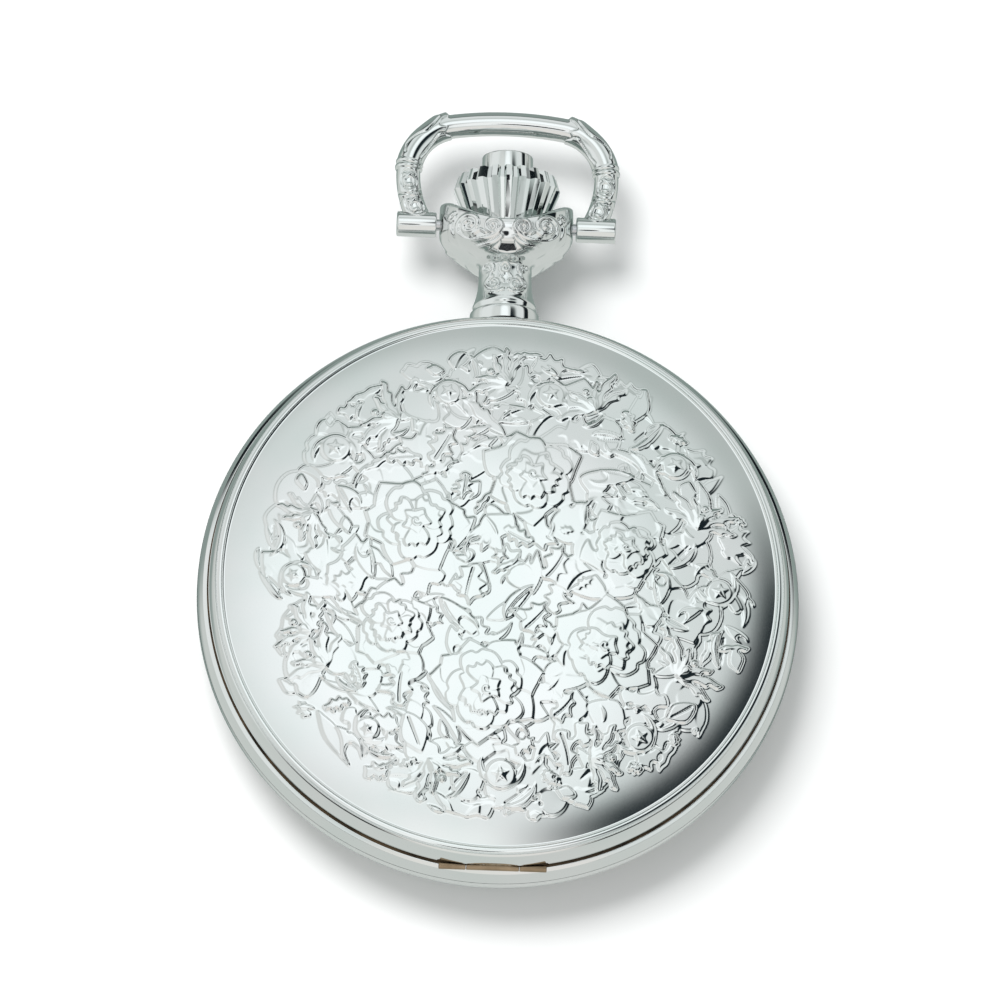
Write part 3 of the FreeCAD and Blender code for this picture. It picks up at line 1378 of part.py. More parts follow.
def minute_wheel():
    module = MOTION_MODULE * (CANNON_LEAVES + MINUTE_TEETH) / (MINUTE_LEAVES + HOUR_TEETH)
    shape = joined([
        geared(MINUTE_TEETH, MOTION_MODULE, 0.2, 5.95, minute_phase()),
        geared(MINUTE_LEAVES, module, 0.4, 6.1, 0),
    ])
    bored = shape.cut(disc(0.3 + S.running_gap.value, 2, 5.5))
    return feature("minute_wheel", bored, MINUTE[0], MINUTE[1], 0)


def hour_wheel():
    """The hour wheel; its pipe turns on the cannon pinion and carries the hour hand."""
    module = MOTION_MODULE * (CANNON_LEAVES + MINUTE_TEETH) / (MINUTE_LEAVES + HOUR_TEETH)
    shape = joined([geared(HOUR_TEETH, module, 0.2, 6.25, hour_phase()), arbor(1.05, 6.25, 7.98)])
    return feature("hour_wheel", shape.cut(disc(0.78 + S.running_gap.value, 3, 6)))


def setting_wheel():
    shape = geared(SETTING_TEETH, MOTION_MODULE, 0.2, 5.95, setting_phase())
    return feature("setting_wheel", shape.cut(disc(0.3 + S.running_gap.value, 2, 5.5)),
                   SETTING[0], SETTING[1], 0)


def setting_lever():
    """The lever that follows the stem's groove."""
    x, y = SETTING_LEVER
    tip = (0.0, S.lever_groove_reach.value)
    middle = ((x + tip[0]) / 2, (y + tip[1]) / 2)
    solid = fuse("setting_lever_solid", [
        cylinder("setting_lever_eye", 0.6, 0.25, x, y, 6.25),
        block("setting_lever_arm", apart(SETTING_LEVER, tip), 0.6, 0.25, middle[0], middle[1], 6.25,
              heading(SETTING_LEVER, tip)),
        cylinder("setting_lever_end", 0.3, 0.25, tip[0], tip[1], 6.25),
        cylinder("setting_lever_pin", 0.15, 0.3, tip[0], tip[1], 6.05),
    ])
    hole = cylinder("setting_lever_hole", 0.3 + S.running_gap, 3, x, y, 5)
    return cut("setting_lever", solid, [hole])


def yoke():
    """The yoke, whose end lies in the clutch wheel's groove."""
    x, y = YOKE
    tip = (0.0, 12.4)
    middle = ((x + tip[0]) / 2, (y + tip[1]) / 2)
    solid = fuse("yoke_solid", [
        cylinder("yoke_eye", 0.6, 0.2, x, y, 6.42),
        block("yoke_arm", apart(YOKE, tip), 0.34, 0.2, middle[0], middle[1], 6.42, heading(YOKE, tip)),
        cylinder("yoke_end", 0.17, 0.2, tip[0], tip[1], 6.42),
    ])
    hole = cylinder("yoke_hole", 0.3 + S.running_gap, 3, x, y, 5)
    return cut("yoke", solid, [hole])


# ---------------------------------------------------------------- building and writing

SUBPARTS = [
    case_band, lid, lid_hinge_pin, back_cover, bezel_ring, crystal, lid_catch, catch_spring,
    lift_spring, pendant, bow_pins, bow, crown, release_button, release_rod, winding_stem,
    winding_pinion, clutch_wheel, dial, hour_hand, minute_hand, second_hand, movement_ring,
    case_screws, main_plate, barrel_bridge, train_bridge, balance_cock, pallet_cock,
    bridge_screws, train_jewels, balance_jewels, mainspring_barrel, barrel_cover, barrel_arbor,
    mainspring, ratchet_wheel, crown_wheel, crown_wheel_screw, click, click_spring,
    centre_wheel, third_wheel, fourth_wheel, escape_wheel, pallet_fork, pallet_stones,
    balance_wheel, balance_screws, balance_staff, impulse_jewel, hairspring, regulator,
    cannon_pinion, minute_wheel, hour_wheel, setting_wheel, setting_lever, yoke,
]


def check(pieces):
    """Stops at any object that failed and any sub-part without a sound shape."""
    for item in DOC.Objects:
        if "Invalid" in item.State or "Error" in item.State:
            raise RuntimeError("%s failed: %s" % (item.Label, item.State))
    for piece in pieces:
        if piece.Shape.isNull() or not piece.Shape.isValid() or not piece.Shape.Solids:
            raise RuntimeError("%s has no sound shape" % piece.Label)


def main():
    pieces = []
    for make in SUBPARTS:
        piece = make()
        piece.Label = make.__name__
        pieces.append(piece)
    DOC.recompute()
    check(pieces)
    os.makedirs("parts", exist_ok=True)
    for piece in pieces:
        piece.Shape.exportStep("parts/%s.step" % piece.Label)
        print("%-20s solids %2d volume %9.3f" % (
            piece.Label, len(piece.Shape.Solids), piece.Shape.Volume))


main()
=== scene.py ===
"""The looks of the hunter pocket watch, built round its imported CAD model."""
import json
import math
import random

import bmesh
import bpy
import numpy as np
from mathutils import Matrix, Vector


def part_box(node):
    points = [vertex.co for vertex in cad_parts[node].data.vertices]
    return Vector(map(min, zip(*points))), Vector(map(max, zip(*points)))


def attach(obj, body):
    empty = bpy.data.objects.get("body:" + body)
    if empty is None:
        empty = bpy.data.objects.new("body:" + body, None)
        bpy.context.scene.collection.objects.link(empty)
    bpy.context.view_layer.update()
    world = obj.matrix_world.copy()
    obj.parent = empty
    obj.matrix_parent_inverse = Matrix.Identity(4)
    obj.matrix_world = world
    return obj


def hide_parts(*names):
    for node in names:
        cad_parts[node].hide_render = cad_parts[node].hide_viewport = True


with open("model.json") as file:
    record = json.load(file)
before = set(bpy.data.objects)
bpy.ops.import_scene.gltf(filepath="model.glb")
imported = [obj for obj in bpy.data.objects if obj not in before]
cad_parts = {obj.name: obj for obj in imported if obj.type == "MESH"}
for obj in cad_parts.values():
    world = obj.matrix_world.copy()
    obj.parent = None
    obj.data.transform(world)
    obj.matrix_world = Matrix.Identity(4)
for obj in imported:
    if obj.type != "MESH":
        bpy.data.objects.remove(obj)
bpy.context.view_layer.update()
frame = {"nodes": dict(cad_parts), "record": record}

MM = 0.001
TAU = 2 * math.pi
TINY = 1e-12
SCENE = bpy.context.scene


def add_object(name, data):
    """A new object, linked to the scene."""
    made = bpy.data.objects.new(name, data)
    SCENE.collection.objects.link(made)
    return made


# ---- camera

AIM = Vector((0.0, 8.63, 5.6)) * MM
LEAN = math.radians(20.0)
SIDE = math.radians(5.8)
ROLL = math.radians(1.3)
FAR = 3.0
FIELD_WIDTH = 79.74 * MM


def add_camera():
    """A long lens above the lid, leaning towards 6 o'clock and a little to the left."""
    flat = math.sin(LEAN)
    away = Vector((-flat * math.sin(SIDE), -flat * math.cos(SIDE), math.cos(LEAN)))
    up = (Vector((0, 1, 0)) - away * away.y).normalized()
    right = up.cross(away)
    up_rolled = up * math.cos(ROLL) - right * math.sin(ROLL)
    right_rolled = up_rolled.cross(away)
    data = bpy.data.cameras.new("camera")
    data.sensor_width = 36
    data.lens = data.sensor_width * FAR / FIELD_WIDTH
    data.clip_start = 0.01
    data.clip_end = 20
    camera = add_object("camera", data)
    turn = Matrix((right_rolled, up_rolled, away)).transposed().to_4x4()
    camera.matrix_world = Matrix.Translation(AIM + away * FAR) @ turn
    SCENE.camera = camera


# ---- materials

GRAIN_SCALE = 9000


class Nodes:
    """A short way to write the nodes of a material or a world."""

    def __init__(self, owner, shader="Principled BSDF"):
        owner.use_nodes = True
        self.owner = owner
        self.tree = owner.node_tree
        self.shader = self.tree.nodes[shader]
        self.coords = self.add("ShaderNodeTexCoord")

    def add(self, kind, **settings):
        node = self.tree.nodes.new(kind)
        for key, value in settings.items():
            if key in node.inputs:
                node.inputs[key].default_value = value
            else:
                setattr(node, key, value)
        return node

    def link(self, source, output, target, socket):
        self.tree.links.new(source.outputs[output], target.inputs[socket])

    def noise(self, scale, detail=3.0):
        """Cloudy noise in the object's own coordinates."""
        node = self.add("ShaderNodeTexNoise", Scale=scale, Detail=detail, Roughness=0.5)
        self.link(self.coords, "Object", node, "Vector")
        return node

    def ramp(self, source, output, stops):
        """Colours (red, green, blue) by a 0 to 1 value."""
        node = self.add("ShaderNodeValToRGB")
        elements = node.color_ramp.elements
        for index in (0, -1):
            elements[index].position = stops[index][0]
            elements[index].color = (*stops[index][1], 1)
        for place, colour in stops[1:-1]:
            elements.new(place).color = (*colour, 1)
        self.link(source, output, node, "Fac")
        return node

    def span(self, source, output, low, high):
        """A 0 to 1 value spread over low to high."""
        node = self.add("ShaderNodeMapRange", **{"To Min": low, "To Max": high})
        self.link(source, output, node, "Value")
        return node


def cloudy(name, settings, scale, stops, gloss=None):
    """A material whose tone and gloss vary softly, and the settings of its other inputs."""
    nodes = Nodes(bpy.data.materials.new(name))
    for key, value in settings.items():
        nodes.shader.inputs[key].default_value = value
    cloud = nodes.noise(scale)
    tone = nodes.ramp(cloud, "Fac", stops)
    nodes.link(tone, "Color", nodes.shader, "Base Color")
    if gloss:
        soft = nodes.span(cloud, "Fac", *gloss)
        nodes.link(soft, "Result", nodes.shader, "Roughness")
    return nodes


def metal(name, tone_a, tone_b, rough_low, rough_high, scale, grain_depth=0.0):
    """A metal, with a fine frosted grain if it has a depth."""
    stops = [(0.35, tone_a), (0.65, tone_b)]
    nodes = cloudy(name, {"Metallic": 1.0}, scale, stops, (rough_low, rough_high))
    if grain_depth:
        grain = nodes.noise(GRAIN_SCALE, 2.0)
        frost = nodes.add("ShaderNodeBump", Distance=grain_depth, Strength=1.0)
        nodes.link(grain, "Fac", frost, "Height")
        nodes.link(frost, "Normal", nodes.shader, "Normal")
    return nodes.owner


def make_materials():
    """Every slot's material, and two dark looks that paint shade: in the seam's gap and on the hinge in
    its slit.
    """
    glass = cloudy("crystal_glass", {"Transmission Weight": 1.0, "IOR": 1.49}, 120,
                   [(0.3, (0.97, 0.985, 0.98)), (0.7, (0.99, 0.995, 0.995))], (0.0, 0.015))
    enamel = cloudy("dial_enamel", {"Coat Weight": 0.6}, 500,
                    [(0.3, (0.90, 0.89, 0.85)), (0.7, (0.93, 0.92, 0.89))], (0.18, 0.26))
    ruby = cloudy("ruby_polished", {"Transmission Weight": 0.5, "IOR": 1.76, "Roughness": 0.08}, 2000,
                  [(0.3, (0.55, 0.01, 0.05)), (0.7, (0.72, 0.02, 0.09))])
    return {
        "case_metal": metal("chrome_case", (0.72, 0.76, 0.745), (0.77, 0.78, 0.775), 0.04, 0.08, 120),
        "steel": metal("steel_brushed", (0.55, 0.56, 0.58), (0.66, 0.66, 0.67), 0.2, 0.32, 900),
        "gilt_plate": metal("gilt_frosted", (0.78, 0.62, 0.33), (0.85, 0.69, 0.40), 0.28, 0.4, 700,
                            0.004 * MM),
        "wheel_brass": metal("brass_wheels", (0.74, 0.54, 0.22), (0.82, 0.62, 0.28), 0.16, 0.26, 900),
        # Near-black brown: painted shade standing in for the shadow in the seam's gap.
        "painted_seam_shade": metal("seam_painted_shade", (0.03, 0.025, 0.02), (0.13, 0.09, 0.055), 0.3, 0.5, 400),
        # Dark brown: painted shade on the hinge knuckles, which sit in the slit's shadow.
        "painted_hinge_shade": metal("hinge_painted_shade", (0.27, 0.2, 0.13), (0.40, 0.30, 0.20), 0.28, 0.42, 600),
        "crystal": glass.owner,
        "dial_enamel": enamel.owner,
        "hand_blue": metal("steel_blued", (0.02, 0.045, 0.20), (0.03, 0.07, 0.28), 0.12, 0.2, 900),
        "ruby": ruby.owner,
    }


# ---- mesh building

def mesh_piece(name, verts, faces, body, slot="case_metal", look=None, replaced=(), crease=None,
               clean=True):
    """A visible piece from points in metres and faces; its look is its slot's, or another's."""
    mesh = bpy.data.meshes.new(name)
    mesh.from_pydata(np.asarray(verts).tolist(), [], [list(face) for face in faces])
    if clean:
        work = bmesh.new()
        work.from_mesh(mesh)
        bmesh.ops.remove_doubles(work, verts=work.verts, dist=1e-7)
        bmesh.ops.dissolve_degenerate(work, edges=work.edges, dist=1e-8)
        bmesh.ops.recalc_face_normals(work, faces=work.faces)
        work.to_mesh(mesh)
        work.free()
    mesh.polygons.foreach_set("use_smooth", [True] * len(mesh.polygons))
    mesh.update()
    if crease is not None:
        mesh.set_sharp_from_angle(angle=math.radians(crease))
    mesh.materials.append(MATERIALS[look or slot])
    piece = add_object(name, mesh)
    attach(piece, body)
    if replaced:
        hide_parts(*replaced)
    return piece


def wrapped_faces(rows, columns, close_rows, close_columns):
    """Quads over a grid of rows x columns points."""
    row = np.arange(rows if close_rows else rows - 1)
    column = np.arange(columns if close_columns else columns - 1)
    a, b = np.meshgrid(row, column, indexing="ij")
    a2, b2 = (a + 1) % rows, (b + 1) % columns
    quads = np.stack([a * columns + b, a * columns + b2, a2 * columns + b2, a2 * columns + b], -1)
    return quads.reshape(-1, 4).tolist()


def spanned(p0, p1, p2, p3, per_span):
    """The points of one Catmull-Rom span, from p1 on towards p2."""
    return [0.5 * (2 * p1 + (p2 - p0) * t + (2 * p0 - 5 * p1 + 4 * p2 - p3) * t * t
                   + (3 * p1 - p0 - 3 * p2 + p3) * t ** 3) for t in np.arange(per_span) / per_span]


def curve_line(points, per_span=6):
    """A smooth open line through points."""
    pts = np.asarray(points, float)
    ext = np.vstack([2 * pts[0] - pts[1], pts, 2 * pts[-1] - pts[-2]])
    out = []
    for i in range(1, len(ext) - 2):
        out += spanned(ext[i - 1], ext[i], ext[i + 1], ext[i + 2], per_span)
    out.append(pts[-1])
    return np.array(out)


def closed_line(points, per_span=6):
    """A smooth closed line through points."""
    pts = np.asarray(points, float)
    count = len(pts)
    out = []
    for i in range(count):
        out += spanned(pts[i - 1], pts[i], pts[(i + 1) % count], pts[(i + 2) % count], per_span)
    return np.array(out)


def segment_gaps(start, end, x, y):
    """The distance of every point to every segment, and how far along (0 to 1) it is nearest."""
    px, py = x.ravel()[:, None], y.ravel()[:, None]
    (sx, sy), (dx, dy) = start.T, (end - start).T
    along = (px - sx) * dx + (py - sy) * dy
    along = np.clip(along / np.maximum(dx * dx + dy * dy, TINY), 0, 1)
    return np.hypot(px - sx - along * dx, py - sy - along * dy), along


def inside_distance(outline, x, y):
    """How far each point is inside a closed outline; negative outside."""
    start = np.asarray(outline, float)
    end = np.roll(start, -1, axis=0)
    gap = segment_gaps(start, end, x, y)[0].min(1)
    px, py = x.ravel()[:, None], y.ravel()[:, None]
    (sx, sy), (dx, dy) = start.T, (end - start).T
    crosses = (sy > py) != (end[:, 1] > py)
    slope = dx / np.where(np.abs(dy) < TINY, TINY, dy)
    left = px < slope * (py - sy) + sx
    inside = (crosses & left).sum(1) % 2 == 1
    return np.where(inside, gap, -gap).reshape(x.shape)


def line_distance(points, x, y):
    """The distance to an open line, and how far along it (0 to 1) the nearest point is."""
    pts = np.asarray(points, float)
    gap, along = segment_gaps(pts[:-1], pts[1:], x, y)
    best = gap.argmin(1)
    rows = np.arange(len(best))
    share = (best + along[rows, best]) / (len(pts) - 1)
    return gap[rows, best].reshape(x.shape), share.reshape(x.shape)


def smooth(value):
    """A soft step from 0 to 1."""
    value = np.clip(value, 0, 1)
    return value * value * (3 - 2 * value)


def polar(reach, degrees):
    """The point at a distance and an angle from the middle."""
    return reach * math.cos(math.radians(degrees)), reach * math.sin(math.radians(degrees))


def placed(shape, x, y, size, turn, mirror=1):
    """Shape points scaled, turned (degrees) and moved."""
    pts = np.asarray(shape, float) * size
    pts[:, 1] *= mirror
    c, s = math.cos(math.radians(turn)), math.sin(math.radians(turn))
    return np.stack([x + pts[:, 0] * c - pts[:, 1] * s, y + pts[:, 0] * s + pts[:, 1] * c], 1)


class Relief:
    """A height map in millimetres over a square, to which shapes are added one over another."""

    def __init__(self, half, step=0.05):
        self.half, self.step = half, step
        self.count = int(2 * half / step) + 1
        self.height = np.zeros((self.count, self.count))
        self.taken = np.zeros((self.count, self.count), bool)

    def window(self, pts, margin):
        """The part of the map round some points: its slices and the places in it."""
        low = np.floor((pts.min(0) - margin + self.half) / self.step).astype(int)
        high = np.ceil((pts.max(0) + margin + self.half) / self.step).astype(int)
        low, high = np.clip(low, 0, self.count), np.clip(high, 0, self.count)
        if (high <= low).any():
            return None
        span_x, span_y = slice(low[0], high[0]), slice(low[1], high[1])
        x, y = np.meshgrid(np.arange(low[0], high[0]) * self.step - self.half,
                           np.arange(low[1], high[1]) * self.step - self.half, indexing="ij")
        return span_x, span_y, x, y

    def lay(self, outline, base, rise, edge=0.17, foot=None, lift=0.0):
        """A shape with a flat top and one soft step round it, which covers what is under it.
        With a foot point, the shape climbs by lift from there to its far end."""
        pts = np.asarray(outline, float)
        found = self.window(pts, 0.05)
        if found is None:
            return
        span_x, span_y, x, y = found
        inside = inside_distance(pts, x, y)
        under = self.height[span_x, span_y]
        share = smooth(inside / edge)
        top = base + rise
        if foot is not None:
            away = np.hypot(x - foot[0], y - foot[1])
            top = top + lift * np.clip(away / (np.hypot(*(pts - foot).T).max() + 1e-9), 0, 1)
        self.height[span_x, span_y] = np.where(inside > 0, under + (top - under) * share, under)
        self.taken[span_x, span_y] |= inside > 0

    def is_free(self, outline, gap=0.13):
        """Whether a shape, grown by a gap, touches nothing that has been laid."""
        pts = np.asarray(outline, float)
        middle = pts.mean(0)
        away = pts - middle
        far = np.hypot(*away.T)[:, None]
        grown = middle + away * (1 + gap / np.maximum(far, 1e-6))
        tests = np.vstack([grown, middle + away * 0.5, [middle]])
        cells = ((tests + self.half) / self.step).astype(int)
        if (cells < 0).any() or (cells >= self.count).any():
            return False
        return not self.taken[cells[:, 0], cells[:, 1]].any()

    def stroke(self, points, width, rise, taper=0.0, wire=False):
        """A soft ridge, or a groove when rise is negative, along an open line; a wire is fuller."""
        pts = np.asarray(points, float)
        found = self.window(pts, width)
        if found is None:
            return
        span_x, span_y, x, y = found
        gap, share = line_distance(pts, x, y)
        away = gap / np.maximum(width * (1 - taper * share), 1e-3)
        if wire:
            ridge = rise * np.sqrt(np.clip(1 - away ** 2, 0, 1))
            self.height[span_x, span_y] = np.maximum(self.height[span_x, span_y], ridge)
        else:
            self.height[span_x, span_y] += rise * smooth(1 - away)

    def soften(self, passes=1):
        """Each height becomes half itself and half its four neighbours' mean."""
        for _ in range(passes):
            h = np.pad(self.height, 1, mode="edge")
            beside = h[:-2, 1:-1] + h[2:, 1:-1] + h[1:-1, :-2] + h[1:-1, 2:]
            self.height = (beside + 4 * h[1:-1, 1:-1]) / 8

    def at(self, x, y):
        """The height at any places, from the four cells round each."""
        fx = np.clip((x + self.half) / self.step, 0, self.count - 1.001)
        fy = np.clip((y + self.half) / self.step, 0, self.count - 1.001)
        ix, iy = fx.astype(int), fy.astype(int)
        tx, ty = fx - ix, fy - iy
        h = self.height
        return ((h[ix, iy] * (1 - tx) + h[ix + 1, iy] * tx) * (1 - ty)
                + (h[ix, iy + 1] * (1 - tx) + h[ix + 1, iy + 1] * tx) * ty)


# Closed shapes that point along +x, one unit long.
POINTED = closed_line([(0, 0), (0.2, 0.22), (0.55, 0.34), (0.85, 0.16), (1.0, 0.0), (0.85, -0.16),
                       (0.55, -0.34), (0.2, -0.22)], 5)
SPEAR = closed_line([(0, 0.03), (0.25, 0.17), (0.55, 0.2), (0.82, 0.1), (1, 0), (0.8, -0.07),
                     (0.5, -0.12), (0.2, -0.09), (0, -0.03)], 4)
NOTCHED = closed_line([(0, 0), (0.3, 0.3), (0.7, 0.5), (0.98, 0.36), (0.9, 0.16), (1.04, 0.02),
                       (0.9, -0.12), (1.0, -0.36), (0.7, -0.48), (0.3, -0.3)], 4)
LOBED = closed_line([(0, 0.04), (0.12, 0.2), (0.26, 0.14), (0.36, 0.34), (0.52, 0.22), (0.62, 0.36),
                     (0.76, 0.18), (0.88, 0.2), (1.0, -0.04), (0.8, -0.1), (0.7, -0.26), (0.55, -0.14),
                     (0.42, -0.3), (0.3, -0.14), (0.14, -0.18)], 4)
CRESCENT = closed_line([(0, 0), (0.18, 0.2), (0.5, 0.32), (0.82, 0.24), (1, 0.02), (0.82, 0.1),
                        (0.5, 0.12), (0.2, 0.06)], 4)
DROP = closed_line([(0, 0), (0.3, 0.08), (0.62, 0.24), (0.9, 0.2), (1, 0), (0.9, -0.2), (0.62, -0.24),
                    (0.3, -0.08)], 4)
BROAD = closed_line([(0, 0), (0.22, 0.34), (0.6, 0.5), (0.9, 0.4), (1.0, 0.12), (0.94, 0.0),
                     (1.0, -0.16), (0.86, -0.42), (0.55, -0.5), (0.22, -0.34)], 4)
CLAW = closed_line([(0, 0.05), (0.2, 0.26), (0.5, 0.42), (0.8, 0.42), (1.0, 0.26), (0.8, 0.3),
                    (0.62, 0.22), (0.7, 0.06), (0.98, 0.0), (0.7, -0.08), (0.35, -0.1), (0, -0.05)], 4)
PETAL = closed_line([(0, 0), (0.28, 0.3), (0.6, 0.43), (0.82, 0.27), (0.995, 0.01), (1.0, -0.01),
                     (0.82, -0.2), (0.62, -0.4), (0.28, -0.28)], 5)
FROND = closed_line([(0, 0.02), (0.2, 0.12), (0.42, 0.12), (0.6, 0.2), (0.7, 0.13), (0.84, 0.17),
                     (1.0, 0.02), (0.86, -0.03), (0.7, -0.1), (0.5, -0.08), (0.3, -0.12), (0, -0.03)], 4)
ACANTHUS = closed_line([(0, 0.05), (0.14, 0.24), (0.3, 0.2), (0.38, 0.4), (0.56, 0.3), (0.66, 0.4),
                        (0.8, 0.2), (1.0, 0.1), (0.84, 0.0), (0.86, -0.2), (0.66, -0.16), (0.56, -0.36),
                        (0.4, -0.2), (0.22, -0.3), (0.12, -0.12)], 3)
# Round shapes about their own middle.
ROUND = [(math.cos(a), math.sin(a)) for a in np.linspace(0, TAU, 33)[:-1]]
STAR = [(math.cos(a) * reach, math.sin(a) * reach)
        for a, reach in zip(np.linspace(0, TAU, 11)[:-1], (0.5, 1.0) * 5)]
WEB = closed_line(STAR, 3)


def spiral(x, y, start_radius, end_radius, turns, start_angle, hand=1, count=28):
    """A line that winds from one radius to another, anticlockwise with hand 1."""
    steps = np.linspace(0, 1, count)
    radius = start_radius + (end_radius - start_radius) * steps
    angle = math.radians(start_angle) + hand * TAU * turns * steps
    return np.stack([x + radius * np.cos(angle), y + radius * np.sin(angle)], 1)


def ragged(radius, lobes, depth, turn, chance):
    """A wavy closed outline round the origin."""
    out = []
    for index in range(lobes * 2):
        reach = radius * (1 + (depth if index % 2 else -depth) * chance.uniform(0.6, 1.3))
        angle = math.radians(turn) + index * math.pi / lobes + chance.uniform(-0.07, 0.07)
        out.append((reach * math.cos(angle), reach * math.sin(angle)))
    return closed_line(out, 4)


def leaf_outline(shape, x, y, size, turn, bend, mirror):
    """A placed shape that curves aside towards its tip."""
    pts = np.array(shape)
    pts[:, 1] += bend * pts[:, 0] ** 2
    return placed(pts, x, y, size, turn, mirror)


def bloom(relief, x, y, size, turn, chance):
    """A full flower: pointed outer petals, two wavy rims, notched petals between and a curled heart."""
    def ring(shape, petals, reach, start, jitter, heights, bend):
        for petal in [*range(0, petals, 2), *range(1, petals, 2)]:
            angle = turn + start + petal * 360 / petals + chance.uniform(-jitter, jitter)
            length = size * reach * chance.uniform(0.9, 1.1)
            outline = leaf_outline(shape, x, y, length, angle, bend, chance.choice((-1, 1)))
            relief.lay(outline, 0.0, heights[petal % 2])

    ring(PETAL, 8, 1.0, 0, 7, (0.175, 0.145), 0.16)
    ring(BROAD, 5, 0.72, 20, 14, (0.21, 0.235), 0.1)
    relief.lay(ragged(size * 0.5, 7, 0.13, turn + 20, chance) + (x, y), 0.0, 0.255)
    ring(NOTCHED, 5, 0.47, 45, 22, (0.285, 0.31), 0.1)
    relief.lay(ragged(size * 0.25, 5, 0.2, turn + 70, chance) + (x, y), 0.0, 0.335)
    ring(CRESCENT, 3, 0.24, 10, 30, (0.37, 0.395), 0.2)
    relief.stroke(spiral(x, y, 0.06, size * 0.1, 0.8, turn), 0.15, 0.04)


def bud(relief, x, y, size, turn, chance):
    """A round bud in its calyx, with a small flower on it."""
    for side in (-1, 1):
        relief.lay(placed(CRESCENT, x, y, size * 2.3, turn + side * 30, side), 0.06, 0.10)
    away_x, away_y = polar(0.9 * size, turn)
    cx, cy = x + away_x, y + away_y
    relief.lay(placed(ROUND, cx, cy, size, turn), 0.08, 0.12, 0.3)
    relief.lay(placed(WEB, cx, cy, size * 0.62, turn + chance.uniform(0, 60)), 0.08, 0.16)
    relief.lay(placed(ROUND, cx, cy, size * 0.2, 0), 0.08, 0.2, 0.12)


def veined(relief, shape, x, y, size, turn, bend, mirror, rise):
    """A leaf, with a midrib when it is a large one."""
    relief.lay(leaf_outline(shape, x, y, size, turn, bend, mirror), 0.0, rise)
    if size > 2.2:
        line = np.linspace(0.14, 0.8, 9)
        rib = placed(np.stack([line, bend * line ** 2], 1), x, y, size, turn, mirror)
        relief.stroke(rib, 0.12, -0.06, 0.5)


def plume(relief, x, y, size, turn, chance):
    """Two sets of swept fronds that curl apart from one foot, with a pearl between them."""
    for side in (-1, 1):
        for index, (spread, reach) in enumerate(((58, 0.85), (32, 1.0), (8, 0.8))):
            length = size * reach * chance.uniform(0.93, 1.07)
            outline = leaf_outline(FROND, x, y, length, turn + side * spread, 0.3, side)
            relief.lay(outline, 0.06, 0.08 + 0.03 * index)
    relief.lay(placed(DROP, x, y, size * 0.42, turn), 0.06, 0.19)
    pearl = placed([(0.55, 0)], x, y, size, turn)[0]
    relief.lay(placed(ROUND, pearl[0], pearl[1], 0.3, 0), 0.08, 0.16, 0.14)


def leafy_ground(relief, radius, chance):
    """Leaves that overlap like scales and swirl round the lid, with no plain metal between them."""
    spacing = 1.75
    count = int(radius / spacing) + 1
    spots = [(i + (j % 2) / 2, j * 0.87)
             for i in range(-count, count + 1) for j in range(-count - 2, count + 3)]
    chance.shuffle(spots)
    for across, up in spots:
        x = (across + chance.uniform(-0.3, 0.3)) * spacing
        y = (up + chance.uniform(-0.3, 0.3)) * spacing
        angle = math.degrees(math.atan2(y, x))
        turn = angle + chance.choice((70, 100, 130, -60, -95, 20)) + chance.uniform(-25, 25)
        shape = chance.choice((ACANTHUS, FROND, PETAL, CLAW, LOBED, CRESCENT, POINTED, SPEAR, BROAD))
        size, bend = chance.uniform(2.3, 4.2), chance.uniform(-0.15, 0.35)
        mirror = chance.choice((-1, 1))
        rise = chance.choice((0.045, 0.08, 0.115))
        for share in (1, 0.8, 0.62, 0.48):
            outline = leaf_outline(shape, x, y, size * share, turn, bend, mirror)
            if np.hypot(*outline.T).max() < radius - 0.1:
                relief.lay(outline, 0.0, rise, 0.15, (x, y), 0.03)
                break
    relief.taken[:] = False


def scattered_leaves(relief, radius, chance):
    """Raised leaves in every gap that is left, large ones first."""
    for size, tries in ((3.4, 500), (2.4, 700), (1.5, 800)):
        for _ in range(tries):
            reach, angle = radius * math.sqrt(chance.uniform(0, 1)), chance.uniform(0, 360)
            x, y = polar(reach, angle)
            turn = angle + chance.choice((60, 95, 130, -60, -95, -130, 20, 160))
            turn = turn + chance.uniform(-25, 25)
            shape = chance.choice((ACANTHUS, CRESCENT, CLAW, LOBED, CRESCENT, POINTED))
            length, bend = size * chance.uniform(0.85, 1.2), chance.uniform(-0.15, 0.35)
            mirror = chance.choice((-1, 1))
            outline = leaf_outline(shape, x, y, length, turn, bend, mirror)
            if np.hypot(*outline.T).max() < radius - 0.9 and relief.is_free(outline, 0.35):
                rise = 0.16 + 0.04 * smooth((reach - 15.0) / 3.0)
                veined(relief, shape, x, y, length, turn, bend, mirror, float(rise))


